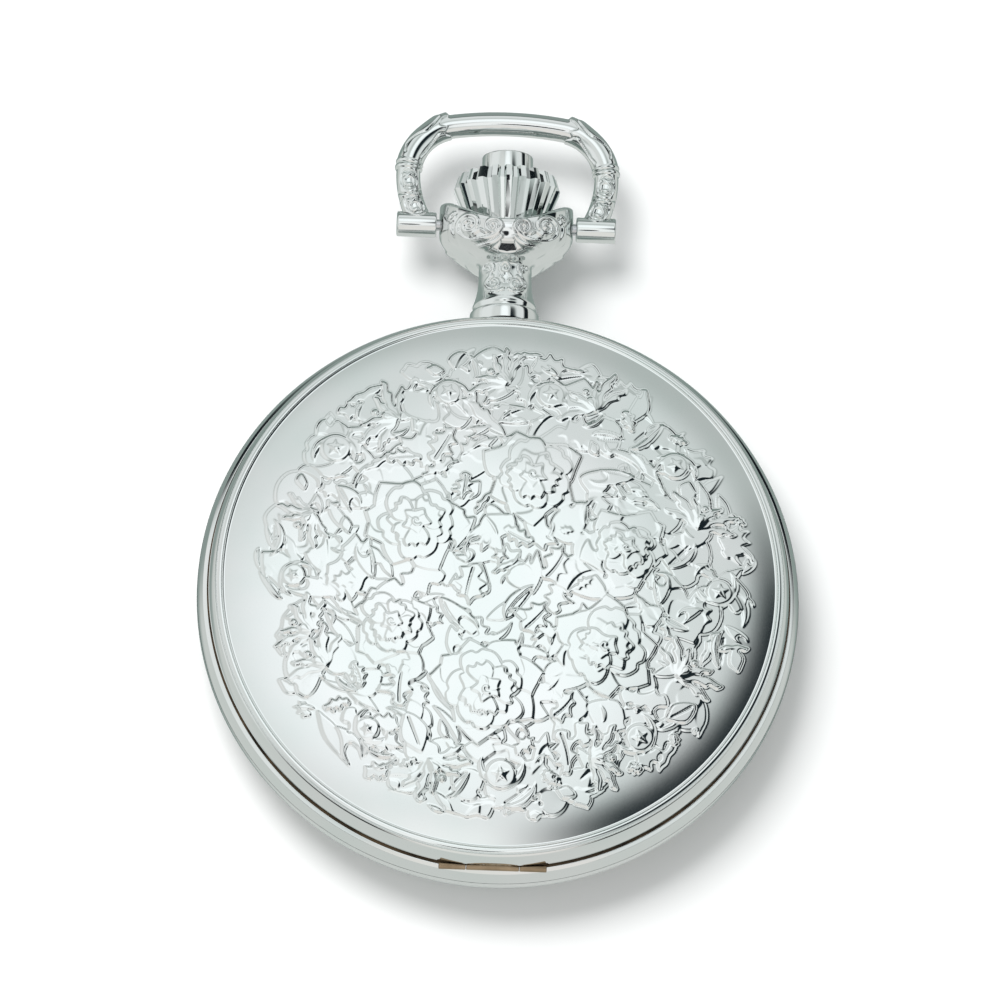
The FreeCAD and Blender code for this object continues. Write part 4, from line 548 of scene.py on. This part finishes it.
def flowered_field(radius):
    """The lid's field of flowers, leaves and buds: generic shapes in a fixed random order."""
    chance = random.Random(11)
    relief = Relief(radius + 0.8)
    leafy_ground(relief, radius, chance)
    for x, y, size in ((2.0, 8.9, 4.2), (-7.2, 4.6, 4.4), (9.5, 3.0, 3.6), (-9.0, -3.9, 3.5),
                       (-1.3, -9.3, 4.4), (8.0, -5.3, 4.3)):
        bloom(relief, x, y, size, chance.uniform(0, 40), chance)
    relief.lay(placed(WEB, -0.5, 1.9, 0.8, 18), 0.0, 0.2)
    for degrees, reach in ((125, 0.79), (62, 0.80), (18, 0.79), (-28, 0.78), (-66, 0.80), (198, 0.79),
                           (-112, 0.80), (-148, 0.79), (158, 0.80), (92, 0.83)):
        angle = degrees + chance.uniform(-3, 3)
        x, y = polar(radius * reach, angle)
        size = chance.uniform(3.1, 3.7)
        plume(relief, x, y, size, angle + chance.choice((-1, 1)) * chance.uniform(35, 75), chance)
    for degrees in (108, 40, -3, -48, -90, -130, 178, 140, 77):
        angle = degrees + chance.uniform(-2, 2)
        x, y = polar(radius * chance.uniform(0.86, 0.9), angle)
        if relief.is_free(placed(ROUND, x, y, 1.0, 0), 0.0):
            bud(relief, x, y, chance.uniform(1.05, 1.35), angle + chance.uniform(100, 260), chance)
    scattered_leaves(relief, radius, chance)
    relief.soften(3)
    return relief


# ---- shared shapes

# In millimetres and degrees.
AXIS_HEIGHT = 5.6
BAND_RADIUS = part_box("case_band")[1].x / MM
LID_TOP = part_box("lid")[1].z / MM
SEAM_HEIGHT = 7.5
HINGE_BACK = 23.05
KNUCKLE_RADIUS = 0.3
PLATE_RADIUS = 22.0
PLATE_DROP = 1.65
FIELD_RADIUS = 20.2
FIELD_SHIFT = 0.4
HEAD_LOW = 29.0
NECK_LOW = 26.6
PIVOT_REACH = 31.8
ARM_START = 10.0
WIRE_RADIUS = 0.96
CREASE = 32
ORNATE_CREASE = 40


def extent(node):
    """The lowest and highest corners of a CAD node in millimetres."""
    low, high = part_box(node)
    return low / MM, high / MM


def rounded(corners, steps=6):
    """A line through corners (x, y, fillet); each fillet becomes an arc-like curve."""
    out = []
    count = len(corners)
    for index, (x, y, fillet) in enumerate(corners):
        here = np.array((x, y), float)
        if not fillet or index in (0, count - 1):
            out.append(here)
            continue
        before = np.array(corners[index - 1][:2], float) - here
        after = np.array(corners[index + 1][:2], float) - here
        start = here + before / np.hypot(*before) * fillet
        end = here + after / np.hypot(*after) * fillet
        for t in np.linspace(0, 1, steps + 1):
            out.append((1 - t) ** 2 * start + 2 * t * (1 - t) * here + t * t * end)
    return np.array(out)


def lathe(name, outline, columns, body, replaced=(), axis="Z", slot="case_metal", look=None):
    """An outline (radius, height) turned about the watch's axis, or about the stem's with axis Y."""
    outline = np.asarray(outline, float)
    angles = np.arange(columns) / columns * TAU
    radius, height = outline[:, 0], outline[:, 1]
    across_x = np.cos(angles)[:, None] * radius[None]
    across_y = np.sin(angles)[:, None] * radius[None]
    along = np.broadcast_to(height, across_x.shape)
    if axis == "Z":
        points = np.stack([across_x, across_y, along], -1)
    else:
        points = np.stack([across_x, along, across_y + AXIS_HEIGHT], -1)
    closed = outline[0, 0] > 0
    faces = wrapped_faces(columns, len(outline), True, closed)
    return mesh_piece(name, points.reshape(-1, 3) * MM, faces, body, slot, look, replaced, CREASE)


def rod_along_x(name, radius, start, end, y, z, body, bevel=0.08, slot="case_metal", look=None):
    """A round rod with bevelled ends, across the watch."""
    outline = rounded([(0, start, 0), (radius, start, bevel), (radius, end, bevel), (0, end, 0)], 4)
    columns = 64
    angles = np.arange(columns) / columns * TAU
    points = np.stack([
        np.broadcast_to(outline[:, 1], (columns, len(outline))),
        y + np.cos(angles)[:, None] * outline[:, 0], z + np.sin(angles)[:, None] * outline[:, 0],
    ], -1).reshape(-1, 3)
    faces = wrapped_faces(columns, len(outline), True, False)
    return mesh_piece(name, points * MM, faces, body, slot, look, (), CREASE)


def knuckle(name, start, end, body):
    """A part of the hinge, in the slit at 6 o'clock, coloured dark brown as painted shade of the slit."""
    rod_along_x(name, KNUCKLE_RADIUS, start, end, -HINGE_BACK, SEAM_HEIGHT, body, slot="steel",
                look="painted_hinge_shade")


# ---- lid

def disc_grid(count):
    """A square grid of points mapped onto the unit disc, with equal steps round the rim."""
    side = np.linspace(-1, 1, count + 1)
    a, b = np.meshgrid(side, side, indexing="ij")
    wide = np.abs(a) > np.abs(b)
    big, small = np.where(wide, a, b), np.where(wide, b, a)
    angle = math.pi / 4 * small / np.where(big == 0, 1, big)
    x = big * np.where(wide, np.cos(angle), np.sin(angle))
    y = big * np.where(wide, np.sin(angle), np.cos(angle))
    return x, y


def rim_order(count):
    """Grid indices round the edge of the disc grid, anticlockwise from its lower right corner."""
    row = [(count, j) for j in range(count)] + [(i, count) for i in range(count, 0, -1)]
    row += [(0, j) for j in range(count, 0, -1)] + [(i, 0) for i in range(count)]
    return [i * (count + 1) + j for i, j in row]


def hinge_room(points):
    """Flattens the rim at the hinge and makes room there for the band's knuckles."""
    flat_half, room_half, room = 7, 4.4, 0.53
    x, y, z = points.T
    y = np.where(np.abs(x) < flat_half, np.maximum(y, -HINGE_BACK), y)
    away_y, away_z = y + HINGE_BACK, z - SEAM_HEIGHT
    gap = np.hypot(away_y, away_z)
    inside = (gap < room) & (np.abs(x) < room_half)
    on_axis = gap <= 0.01
    push = room / np.maximum(gap, 1e-6)
    y = np.where(inside & ~on_axis, -HINGE_BACK + away_y * push, y)
    z = np.where(inside & ~on_axis, SEAM_HEIGHT + away_z * push, z)
    z = np.where(inside & on_axis, SEAM_HEIGHT + room, z)
    return np.stack([x, y, z], 1)


def front_lid(grid=500):
    """The embossed lid as one closed mesh: decorated plate, rounded ring, rim and inner face."""
    relief = flowered_field(FIELD_RADIUS)
    sphere = (PLATE_RADIUS ** 2 + PLATE_DROP ** 2) / (2 * PLATE_DROP)
    top = LID_TOP

    def plate(x, y):
        dome = top - sphere + np.sqrt(sphere ** 2 - x * x - y * y)
        return dome + relief.at(x - FIELD_SHIFT, y)

    x, y = disc_grid(grid)
    x, y = x.ravel() * PLATE_RADIUS, y.ravel() * PLATE_RADIUS
    z = plate(x, y)
    step = 0.05
    near_x, near_y = x * 0.998, y * 0.998
    lean_x = (plate(near_x + step, near_y) - plate(near_x - step, near_y)) / (2 * step)
    lean_y = (plate(near_x, near_y + step) - plate(near_x, near_y - step)) / (2 * step)
    normals = np.stack([-lean_x, -lean_y, np.ones_like(lean_x)], 1)
    normals /= np.linalg.norm(normals, axis=1)[:, None]
    edge = top - PLATE_DROP
    profile = np.vstack([
        rounded([(PLATE_RADIUS, edge, 0), (22.13, edge + 0.06, 0.02), (22.16, edge - 0.06, 0.01),
                 (22.21, edge + 0.03, 0.03), (22.5, edge + 0.02, 0.25), (22.88, edge - 0.3, 0.4),
                 (23.12, 8.35, 0.4), (23.16, 7.72, 0.1), (22.96, 7.5, 0.03), (22.4, 7.5, 0.05),
                 (22.35, 8.6, 0.0)], 7)[1:],
        curve_line([(22.35, 8.6), (21.3, edge - 0.43), (17, edge - 0.05), (11, top - 0.98),
                    (5, top - 0.64), (0.5, top - 0.56)], 4)[1:],
    ])
    rim = rim_order(grid)
    angle = np.arctan2(y[rim], x[rim])
    rings = np.stack([np.cos(angle)[None] * profile[:, 0:1], np.sin(angle)[None] * profile[:, 0:1],
                      np.broadcast_to(profile[:, 1:2], (len(profile), len(rim)))], -1)
    points = np.vstack([np.stack([x, y, z], 1), rings.reshape(-1, 3), [(0, 0, top - 0.55)]])
    plate_count = len(x)
    points[plate_count:-1] = hinge_room(points[plate_count:-1])
    faces = [face[::-1] for face in wrapped_faces(grid + 1, grid + 1, False, False)]
    columns = len(rim)
    previous = rim
    for ring in range(len(profile)):
        start = plate_count + ring * columns
        current = list(range(start, start + columns))
        faces += [(previous[i], current[i], current[(i + 1) % columns], previous[(i + 1) % columns])
                  for i in range(columns)]
        previous = current
    last = len(points) - 1
    faces += [(previous[i], last, previous[(i + 1) % columns]) for i in range(columns)]
    piece = mesh_piece("lid_embossed", points * MM, faces, "front_lid", replaced=("lid",),
                       crease=CREASE, clean=False)
    given = np.zeros((len(points), 3))
    inner = x * x + y * y < (PLATE_RADIUS * 0.995) ** 2
    given[:plate_count][inner] = normals[inner]
    piece.data.normals_split_custom_set_from_vertices(given.tolist())
    knuckle("lid_knuckle_round", -2.1, 2.1, "front_lid")


# ---- case

def case_pieces():
    """The polished band, back, bezel ring and crystal, turned finely enough to mirror cleanly."""
    lathe("band_polished", rounded([
        (20.5, 3.8, 0), (23.2, 3.8, 0.05), (23.5, 4.05, 0.15), (BAND_RADIUS - 0.03, 4.9, 0.5),
        (BAND_RADIUS, 5.6, 0.45), (BAND_RADIUS - 0.03, 6.3, 0.5), (23.56, 7.16, 0.03), (23.3, 7.32, 0.03),
        (21.05, 7.4, 0.04), (21.0, 6.6, 0.0), (20.5, 6.6, 0.0)], 8), 720, "case", ("case_band",))
    # A thin near-black ring in the groove between lid and band: painted shade for the seam's gap.
    lathe("seam_painted_shade", rounded([
        (22.6, 7.3, 0), (23.2, 7.3, 0), (23.27, 7.36, 0.03), (23.23, 7.44, 0.03), (22.6, 7.44, 0)], 4),
        360, "case", slot="wheel_brass", look="painted_seam_shade")
    knuckle("band_knuckle_left", -4.3, -2.15, "case")
    knuckle("band_knuckle_right", 2.15, 4.3, "case")
    lathe("back_polished", rounded([
        (0, 0, 0), (12.0, 0, 0), (17.2, 0.02, 2.5), (21.4, 0.85, 1.5), (22.5, 1.8, 0.7),
        (23.04, 3.0, 0.6), (23.34, 3.74, 0.04), (23.28, 3.8, 0), (20.98, 3.8, 0), (20.98, 4.5, 0.03),
        (20.6, 4.5, 0.03), (20.6, 3.3, 0), (22.6, 3.1, 0.1), (22.2, 2.3, 0.3), (21.1, 1.5, 0.5),
        (18.8, 0.75, 1.0), (15.5, 0.55, 0), (0, 0.55, 0)], 8), 480, "case", ("back_cover",))
    lathe("bezel_polished", rounded([
        (18.6, 7.45, 0), (20.1, 7.45, 0), (20.1, 6.95, 0), (20.55, 6.95, 0), (20.55, 6.7, 0),
        (20.97, 6.7, 0), (20.97, 7.4, 0), (21.7, 7.4, 0.04), (21.7, 7.9, 0.2), (21.35, 8.7, 0.3),
        (20.5, 9.0, 0.35), (19.38, 8.97, 0.05), (19.32, 8.45, 0), (18.9, 8.45, 0.05)], 6),
        480, "case", ("bezel_ring",))
    low, high = extent("crystal")
    edge = high.x
    lathe("crystal_domed", np.vstack([
        curve_line([(0, high.z), (edge * 0.35, high.z - 0.07), (edge * 0.7, high.z - 0.27),
                    (edge - 0.1, high.z - 0.56)], 8),
        [(edge, high.z - 0.62), (edge, low.z)],
        curve_line([(edge - 0.6, low.z), (edge * 0.7, high.z - 1.05), (edge * 0.35, high.z - 0.87),
                    (0, high.z - 0.8)], 8)]), 360, "case", ("crystal",), slot="crystal")


# ---- pendant, bow and crown

def saddle(x):
    """The height of the head's rim above its dip, at x off the middle."""
    radius = 6.63
    return 31.0 + radius - np.sqrt(radius ** 2 - np.clip(np.abs(x), 0, 5.34) ** 2)


def volute(relief, x, y, radius, turns, start, hand, width=0.15, rise=0.17):
    """A raised wire wound inwards."""
    relief.stroke(spiral(x, y, radius, 0.12, turns, start, hand, 44), width, rise, 0.2, True)


def head_relief():
    """Volutes, sweeping bands and small leaves on the pendant, drawn in its front plane."""
    relief = Relief(6.0, 0.04)

    def sweep(side, points, width, rise, taper=0.0):
        line = curve_line([(side * x, y - HEAD_LOW) for x, y in points], 8)
        relief.stroke(line, width, rise, taper, True)

    for side in (-1, 1):
        outward = 180 if side < 0 else 0
        volute(relief, side * 3.1, 30.55 - HEAD_LOW, 0.92, 1.75, outward, side, 0.17)
        volute(relief, side * 1.22, 30.22 - HEAD_LOW, 0.72, 1.6, 180 - outward, -side)
        sweep(side, [(4.02, 30.55), (3.95, 30.05), (3.45, 29.55), (2.6, 29.3), (1.6, 29.36), (0.85, 29.7),
                     (0.5, 30.2)], 0.17, 0.18)
        sweep(side, [(4.5, 30.9), (4.42, 30.1), (3.95, 29.4), (3.0, 28.92), (1.95, 28.82), (1.1, 29.0),
                     (0.55, 29.4)], 0.2, 0.2)
        sweep(side, [(2.75, 29.8), (2.2, 30.0), (1.8, 29.78)], 0.18, 0.16, 0.5)
        sweep(side, [(4.3, 31.8), (4.62, 31.5), (4.4, 31.2), (4.15, 31.45)], 0.15, 0.16)
    relief.soften(1)
    return relief


def neck_relief():
    """Scrolls on the neck's front and back."""
    relief = Relief(3.2, 0.03)
    for x, y, radius, turns, start, hand in (
        (-1.45, 27.7, 0.5, 1.5, -60, 1), (-0.05, 27.6, 0.48, 1.5, 250, -1),
        (1.4, 27.75, 0.45, 1.4, 240, -1), (-0.95, 26.35, 0.6, 1.6, 100, 1),
        (0.8, 26.35, 0.6, 1.6, 80, -1),
    ):
        volute(relief, x, y - NECK_LOW, radius, turns, start, hand, 0.14, 0.15)
    for side in (-1, 1):
        long = [(1.2, 27.25), (1.25, 26.95), (1.55, 26.55), (1.6, 26.1), (1.3, 25.7), (0.7, 25.6),
                (0.2, 25.75)]
        line = curve_line([(side * x, y - NECK_LOW) for x, y in long], 6)
        relief.stroke(line, 0.14, 0.15, 0.0, True)
        line = curve_line([(side * 0.25, 0.5), (side * 0.45, 0.2), (side * 0.2, -0.1)], 6)
        relief.stroke(line, 0.12, 0.1, 0.0, True)
    relief.soften(1)
    return relief


def pendant_outline(angle):
    """(radius, y) rows of the pendant at an angle about the stem; 90 degrees is the front."""
    front = math.sin(angle) ** 2
    side = 1 - front

    def mix(at_side, at_front):
        return at_side * side + at_front * front

    radius = mix(5.34, 4.7)
    rim = min(33.7, float(saddle(5.15 * math.cos(angle))))
    rim_inside = float(saddle(3.6 * math.cos(angle)))
    outer = curve_line([
        (2.75, 22.9), (2.76, 24.1), (2.68, 24.32), (2.5, 24.42), (2.5, 24.62), (2.55, 24.9), (2.38, 25.4),
        (2.2, 26.2), (2.13, 27.0), (2.12, 27.8), (mix(2.3, 2.45), mix(28.65, 28.12)),
        (mix(3.6, 3.45), mix(29.45, 28.24)), (mix(4.85, 4.2), mix(30.15, 28.95)),
        (mix(5.25, 4.6), mix(30.6, 29.8)), (radius, mix(31.2, 30.4)),
        (radius, max(rim - 0.42, mix(31.3, 30.45))), (radius - 0.12, rim - 0.1), (radius - 0.42, rim),
    ], 12)
    inner = [(3.62, rim_inside + 0.02), (3.5, rim_inside - 0.12), (3.5, 30.95), (0.8, 30.95),
             (0.8, 24.1), (1.35, 24.1), (1.35, 22.9)]
    return np.vstack([outer, inner])


def pendant_piece(columns=800):
    """The neck and cupped head, with its ornaments raised along the surface."""
    angles = np.arange(columns) / columns * TAU
    rows = np.array([pendant_outline(angle) for angle in angles])
    radius, reach = rows[..., 0], rows[..., 1]
    x = np.cos(angles)[:, None] * radius
    z = np.sin(angles)[:, None] * radius
    inner_rows = 8
    outer_rows = np.arange(radius.shape[1]) < radius.shape[1] - inner_rows
    head, neck = head_relief(), neck_relief()
    raised = head.at(x, reach - HEAD_LOW) * smooth((np.abs(z) - 0.8) / 0.9) * (reach > 28.15)
    raised = raised + neck.at(x, reach - NECK_LOW) * smooth((np.abs(z) - 0.35) / 0.5) * (reach < 28.05)
    raised = raised * outer_rows[None]
    x = x + np.cos(angles)[:, None] * raised
    z = z + np.sin(angles)[:, None] * raised + AXIS_HEIGHT
    # The foot ends just outside the lid and the back cover, and inside the band.
    beyond = np.where(z > 7.36, 23.3, np.where(z < 3.84, 23.64, 22.9))
    y = np.maximum(reach, np.sqrt(np.maximum(beyond ** 2 - x ** 2, 0)))
    # A small flat facet on the front, where the head meets the neck.
    low, high, half = 28.42, 29.05, 0.82
    notch = (z > AXIS_HEIGHT) & (y > low) & (y < high) & (np.abs(x) < half - 0.45 * (y - low))
    facet = AXIS_HEIGHT + 3.8 + math.tan(math.radians(20)) * (y - 28.74)
    z = np.where(notch, facet, z)
    points = np.stack([x, y, z], -1).reshape(-1, 3)
    faces = wrapped_faces(columns, rows.shape[1], True, True)
    mesh_piece("pendant_ornate", points * MM, faces, "case", replaced=("pendant",), crease=ORNATE_CREASE)


def bow_path():
    """Half of the bow's centre line, from the bar's middle to the boss: arched bar, corner, arm."""
    bar_radius, corner, height, bar_half, foot = 27.7, 4.2, 8.8, 4.4, 6.75
    tilt = math.asin(bar_half / bar_radius)
    reach = bar_radius - corner
    centre = np.array([reach * math.sin(tilt), height - bar_radius + reach * math.cos(tilt)])
    side = centre + (corner, 0)
    arm_angle = 2 * math.atan((side[0] - foot) / side[1])
    arm_radius = side[1] / math.sin(arm_angle)
    parts = [
        [(bar_radius * math.sin(a), height - bar_radius + bar_radius * math.cos(a))
         for a in np.linspace(0, tilt, 60)],
        [tuple(centre + corner * np.array([math.cos(a), math.sin(a)]))
         for a in np.linspace(math.pi / 2 - tilt, 0, 150)[1:]],
        [tuple(side + arm_radius * np.array([math.cos(a) - 1, -math.sin(a)]))
         for a in np.linspace(0, arm_angle, 120)[1:]],
    ]
    return np.array(sum(parts, []))


def bow_relief():
    """Leaves, collars and scrolls along the bow's arm: x runs along the wire, y round it."""
    relief = Relief(6.0, 0.03)

    def along(points):
        return [(s - ARM_START, v) for s, v in points]

    def line(points, width, rise, taper=0.0):
        relief.stroke(curve_line(along(points), 8), width, rise, taper, rise > 0)

    sheath = [(9.3, -1.8), (9.3, 1.8), (6.2, 1.75), (5.3, 1.2), (5.0, 0.95), (4.6, 0.75), (5.25, 0.45),
              (5.5, 0.1), (4.95, -0.3), (5.4, -0.75), (4.75, -1.15), (5.2, -1.75)]
    relief.lay(along(closed_line(sheath, 4)), 0.0, 0.10, 0.13)
    line([(8.9, -0.75), (8.0, -1.0), (7.0, -0.85), (6.0, -0.5), (5.5, -0.6)], 0.13, -0.11)
    line([(8.9, 0.55), (8.3, 0.85), (7.4, 0.5), (6.7, 0.2), (6.0, 0.35), (5.3, 0.8)], 0.13, -0.11)
    line([(8.7, -0.1), (8.0, 0.1), (7.2, -0.2), (6.5, -0.25)], 0.16, 0.09, 0.4)
    line([(8.2, -0.5), (7.5, -0.6), (6.8, -0.45)], 0.12, 0.08)
    for ring in (9.5, 9.92):
        line([(ring, -2.6), (ring, 2.6)], 0.2, 0.15)
    for middle, half, tilt in ((11.15, 0.92, 0.0), (13.35, 0.95, -0.25)):
        oval = [(middle + half * math.cos(a), 0.86 * math.sin(a) + tilt * math.cos(a))
                for a in np.linspace(0, TAU, 17)[:-1]]
        relief.lay(along(closed_line(oval, 3)), 0.0, -0.13, 0.14)
        line([(middle - 0.5, -0.25), (middle - 0.1, 0.35), (middle + 0.4, 0.3), (middle + 0.45, -0.1)],
             0.15, 0.12)
        line([(middle - 0.45, 0.35), (middle - 0.15, -0.35), (middle + 0.35, -0.4)], 0.13, 0.1)
    line([(11.95, -1.3), (12.25, -0.5), (12.45, 0.5), (12.6, 1.3)], 0.13, -0.1)
    line([(11.95, 1.3), (12.25, 0.5), (12.45, -0.5), (12.6, -1.3)], 0.13, -0.1)
    line([(14.35, -1.4), (14.45, 0), (14.35, 1.4)], 0.14, -0.1)
    relief.soften(1)
    return relief


def bow_piece(columns=96):
    """The bow with its bosses: a plain bar between leafed shoulders, and scrolled arms."""
    half = bow_path()
    path = np.vstack([half[::-1] * (-1, 1), half[1:]])
    steps = np.hypot(*np.diff(path, axis=0).T)
    length = np.concatenate([[0], np.cumsum(steps)])
    length = np.abs(length - length[-1] / 2)
    way = np.gradient(path, axis=0)
    way /= np.linalg.norm(way, axis=1)[:, None]
    outward = np.stack([-way[:, 1], way[:, 0]], 1)
    theta = np.arange(columns) / columns * TAU
    front = np.arcsin(np.clip(np.sin(theta), -1, 1))
    round_wire = (math.pi / 2 - np.abs(front)) * np.sign(np.cos(theta)) * WIRE_RADIUS
    relief = bow_relief()
    along, round_it = np.meshgrid(length - ARM_START, round_wire, indexing="ij")
    raised = relief.at(along, round_it)
    raised = raised * (length[:, None] > 4.2)
    curl = smooth((7.4 - length) / 2.6) * smooth((length - 4.5) / 0.3)
    raised = raised + 0.32 * (curl ** 2)[:, None] * np.maximum(np.cos(theta), 0)[None] ** 4
    radius = WIRE_RADIUS + raised
    base = path[:, None, :] + outward[:, None, :] * (radius * np.cos(theta)[None])[..., None]
    points = np.concatenate([base, (radius * np.sin(theta)[None])[..., None]], -1)
    points = points + np.array([0, PIVOT_REACH, AXIS_HEIGHT])
    faces = wrapped_faces(len(path), columns, False, True)
    rows = len(path)
    faces += [list(range(columns))[::-1], list(range((rows - 1) * columns, rows * columns))]
    mesh_piece("bow_ornate", points.reshape(-1, 3) * MM, faces, "bow_loop", replaced=("bow",),
               crease=ORNATE_CREASE)
    for side, start, end in (("left", -8.75, -5.6), ("right", 5.6, 8.75)):
        rod_along_x("bow_boss_" + side, 1.0, start, end, PIVOT_REACH, AXIS_HEIGHT, "bow_loop", 0.14)


def button_piece():
    """The plain round button in the crown's top."""
    low, high = extent("release_button")
    radius = high.x
    lathe("button_polished", rounded([
        (0, low.y, 0), (radius, low.y, 0.05), (radius, high.y, 0.12), (0, high.y, 0)], 5),
        160, "release", ("release_button",), axis="Y")


# ---- dial

TRACK_RADIUS = 17.8
SECONDS_RADIUS = 3.6
SECONDS_PLACE = -8.5
NUMBER_RADIUS = 15.2
NUMBER_SIZE = 3.2


def dial_marks():
    """The printed minute track, hour numbers and seconds track, as very thin raised shapes."""
    top = extent("dial")[1].z
    verts, faces = [], []

    def bar(x, y, turn, width, length, height=0.03):
        start = len(verts)
        c, s = math.cos(turn), math.sin(turn)
        half, side = length / 2, width / 2
        for level in (top - 0.01, top + height):
            for along, off in ((-half, -side), (half, -side), (half, side), (-half, side)):
                verts.append((x + along * c - off * s, y + along * s + off * c, level))
        faces.append((start, start + 3, start + 2, start + 1))
        faces.append((start + 4, start + 5, start + 6, start + 7))
        for i in range(4):
            j = (i + 1) % 4
            faces.append((start + i, start + j, start + 4 + j, start + 4 + i))

    for minute in range(60):
        angle = math.radians(minute * 6)
        hour = minute % 5 == 0
        reach = 17.6 if hour else TRACK_RADIUS
        bar(reach * math.cos(angle), reach * math.sin(angle), angle, 0.22 if hour else 0.1,
            1.0 if hour else 0.6)
    for second in range(12):
        angle = math.radians(second * 30)
        x, y = SECONDS_RADIUS * math.cos(angle), SECONDS_PLACE + SECONDS_RADIUS * math.sin(angle)
        bar(x, y, angle, 0.1, 0.5, -0.08)
    mesh_piece("dial_tracks", np.array(verts) * MM, faces, "case", "hand_blue")
    for hour in range(1, 13):
        if hour == 6:
            continue
        x, y = polar(NUMBER_RADIUS, 90 - hour * 30)
        curve = bpy.data.curves.new("hour_number_%d" % hour, "FONT")
        curve.body = str(hour)
        curve.size = NUMBER_SIZE * MM
        curve.extrude = 0.015 * MM
        curve.align_x, curve.align_y = "CENTER", "CENTER"
        text = add_object("text", curve)
        text.location = (x * MM, y * MM, (top + 0.012) * MM)
        bpy.context.view_layer.update()
        solid = text.evaluated_get(bpy.context.evaluated_depsgraph_get())
        mesh = bpy.data.meshes.new_from_object(solid)
        mesh.transform(text.matrix_world)
        bpy.data.objects.remove(text)
        mesh.materials.clear()
        mesh.materials.append(MATERIALS["hand_blue"])
        number = add_object("hour_number_%d" % hour, mesh)
        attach(number, "case")


# ---- studio

# Patches of the studio's surroundings: tilt to the right and to the back of straight up (degrees),
# half-angles where the patch is full and where it ends, and its colour.
PATCHES = (
    (-65, 5, 22, 40, (0.95, 0.97, 0.97)),
    (2, -62, 26, 36, (0.93, 0.91, 0.88)),
    (-2, -12, 14, 22, (1.1, 1.12, 1.12)),
    (22.5, 6.5, 11, 22, (0.012, 0.02, 0.025)),
    (-26, 10, 12, 24, (0.84, 0.86, 0.85)),
    (1, 19.7, 15.0, 17.3, (0.84, 0.88, 0.88)),
    (-1, 17, 6, 15.5, (1.22, 1.27, 1.29)),
    (-1.5, -20, 4.3, 5.3, (0.01, 0.012, 0.015)),
    (0, 125, 42, 62, (0.30, 0.36, 0.34)),
)


# The surroundings' colours by height, from straight down (0) to straight up (1).
HEIGHTS = (
    (0.0, (0.71, 0.735, 0.715)), (0.06, (0.75, 0.77, 0.745)), (0.10, (0.01, 0.015, 0.018)),
    (0.32, (0.01, 0.015, 0.018)), (0.42, (0.9, 0.93, 0.93)), (0.68, (0.86, 0.9, 0.9)),
    (0.8, (0.56, 0.6, 0.59)), (1.0, (0.62, 0.66, 0.65)),
)
FLOOR_HALF = 3.0
FLOOR_TONES = ((0.3, (0.86, 0.86, 0.86)), (0.7, (0.88, 0.88, 0.88)))


def world_surroundings():
    """The surroundings by height, with the patches laid over them one after another."""
    world = bpy.data.worlds.new("studio")
    SCENE.world = world
    nodes = Nodes(world, "Background")
    split = nodes.add("ShaderNodeSeparateXYZ")
    nodes.link(nodes.coords, "Generated", split, 0)
    under, socket = nodes.ramp(split, "Z", HEIGHTS), "Color"
    for right, back, full, end, tone in PATCHES:
        lean = math.radians(back)
        aside = math.tan(math.radians(right)) * abs(math.cos(lean))
        aim = Vector((aside, math.sin(lean), math.cos(lean))).normalized()
        dot = nodes.add("ShaderNodeVectorMath", operation="DOT_PRODUCT")
        nodes.link(nodes.coords, "Generated", dot, 0)
        dot.inputs[1].default_value = aim
        share = nodes.add("ShaderNodeMapRange", interpolation_type="SMOOTHSTEP")
        share.inputs["From Min"].default_value = math.cos(math.radians(end))
        share.inputs["From Max"].default_value = math.cos(math.radians(full))
        nodes.link(dot, "Value", share, "Value")
        mix = nodes.add("ShaderNodeMix", data_type="RGBA")
        nodes.link(share, "Result", mix, 0)
        nodes.link(under, socket, mix, 6)
        mix.inputs[7].default_value = (*tone, 1)
        under, socket = mix, 2
    nodes.link(under, socket, nodes.shader, "Color")
    nodes.shader.inputs["Strength"].default_value = 1.0


def area_light(name, place, aim, size, power):
    """A round soft light that mirrors don't see."""
    data = bpy.data.lights.new(name, "AREA")
    data.shape = "DISK"
    data.size = size
    data.energy = power
    light = add_object(name, data)
    way = (Vector(aim) - Vector(place)).normalized()
    light.matrix_world = Matrix.Translation(place) @ way.to_track_quat("-Z", "Y").to_matrix().to_4x4()
    light.visible_glossy = False


def studio():
    """The surroundings, a pale floor that mirrors don't see either, and the key light."""
    world_surroundings()
    mesh = bpy.data.meshes.new("floor")
    corners = [(x * FLOOR_HALF, y * FLOOR_HALF, 0) for x, y in ((-1, -1), (1, -1), (1, 1), (-1, 1))]
    mesh.from_pydata(corners, [], [(0, 1, 2, 3)])
    floor = add_object("floor", mesh)
    floor.visible_glossy = False
    mesh.materials.append(cloudy("floor_white", {"Roughness": 0.9}, 3, FLOOR_TONES).owner)
    area_light("key", (-0.27, 0.25, 0.87), (0, 0, 0), 0.5, 6.4)


add_camera()
MATERIALS = make_materials()
for spec in frame["record"]["subparts"]:
    node = frame["nodes"][spec["node"]]
    node.data.materials.clear()
    node.data.materials.append(MATERIALS[spec["material_slot"]])
front_lid()
case_pieces()
pendant_piece()
bow_piece()
button_piece()
dial_marks()
studio()
SCENE.view_settings.view_transform = "Standard"
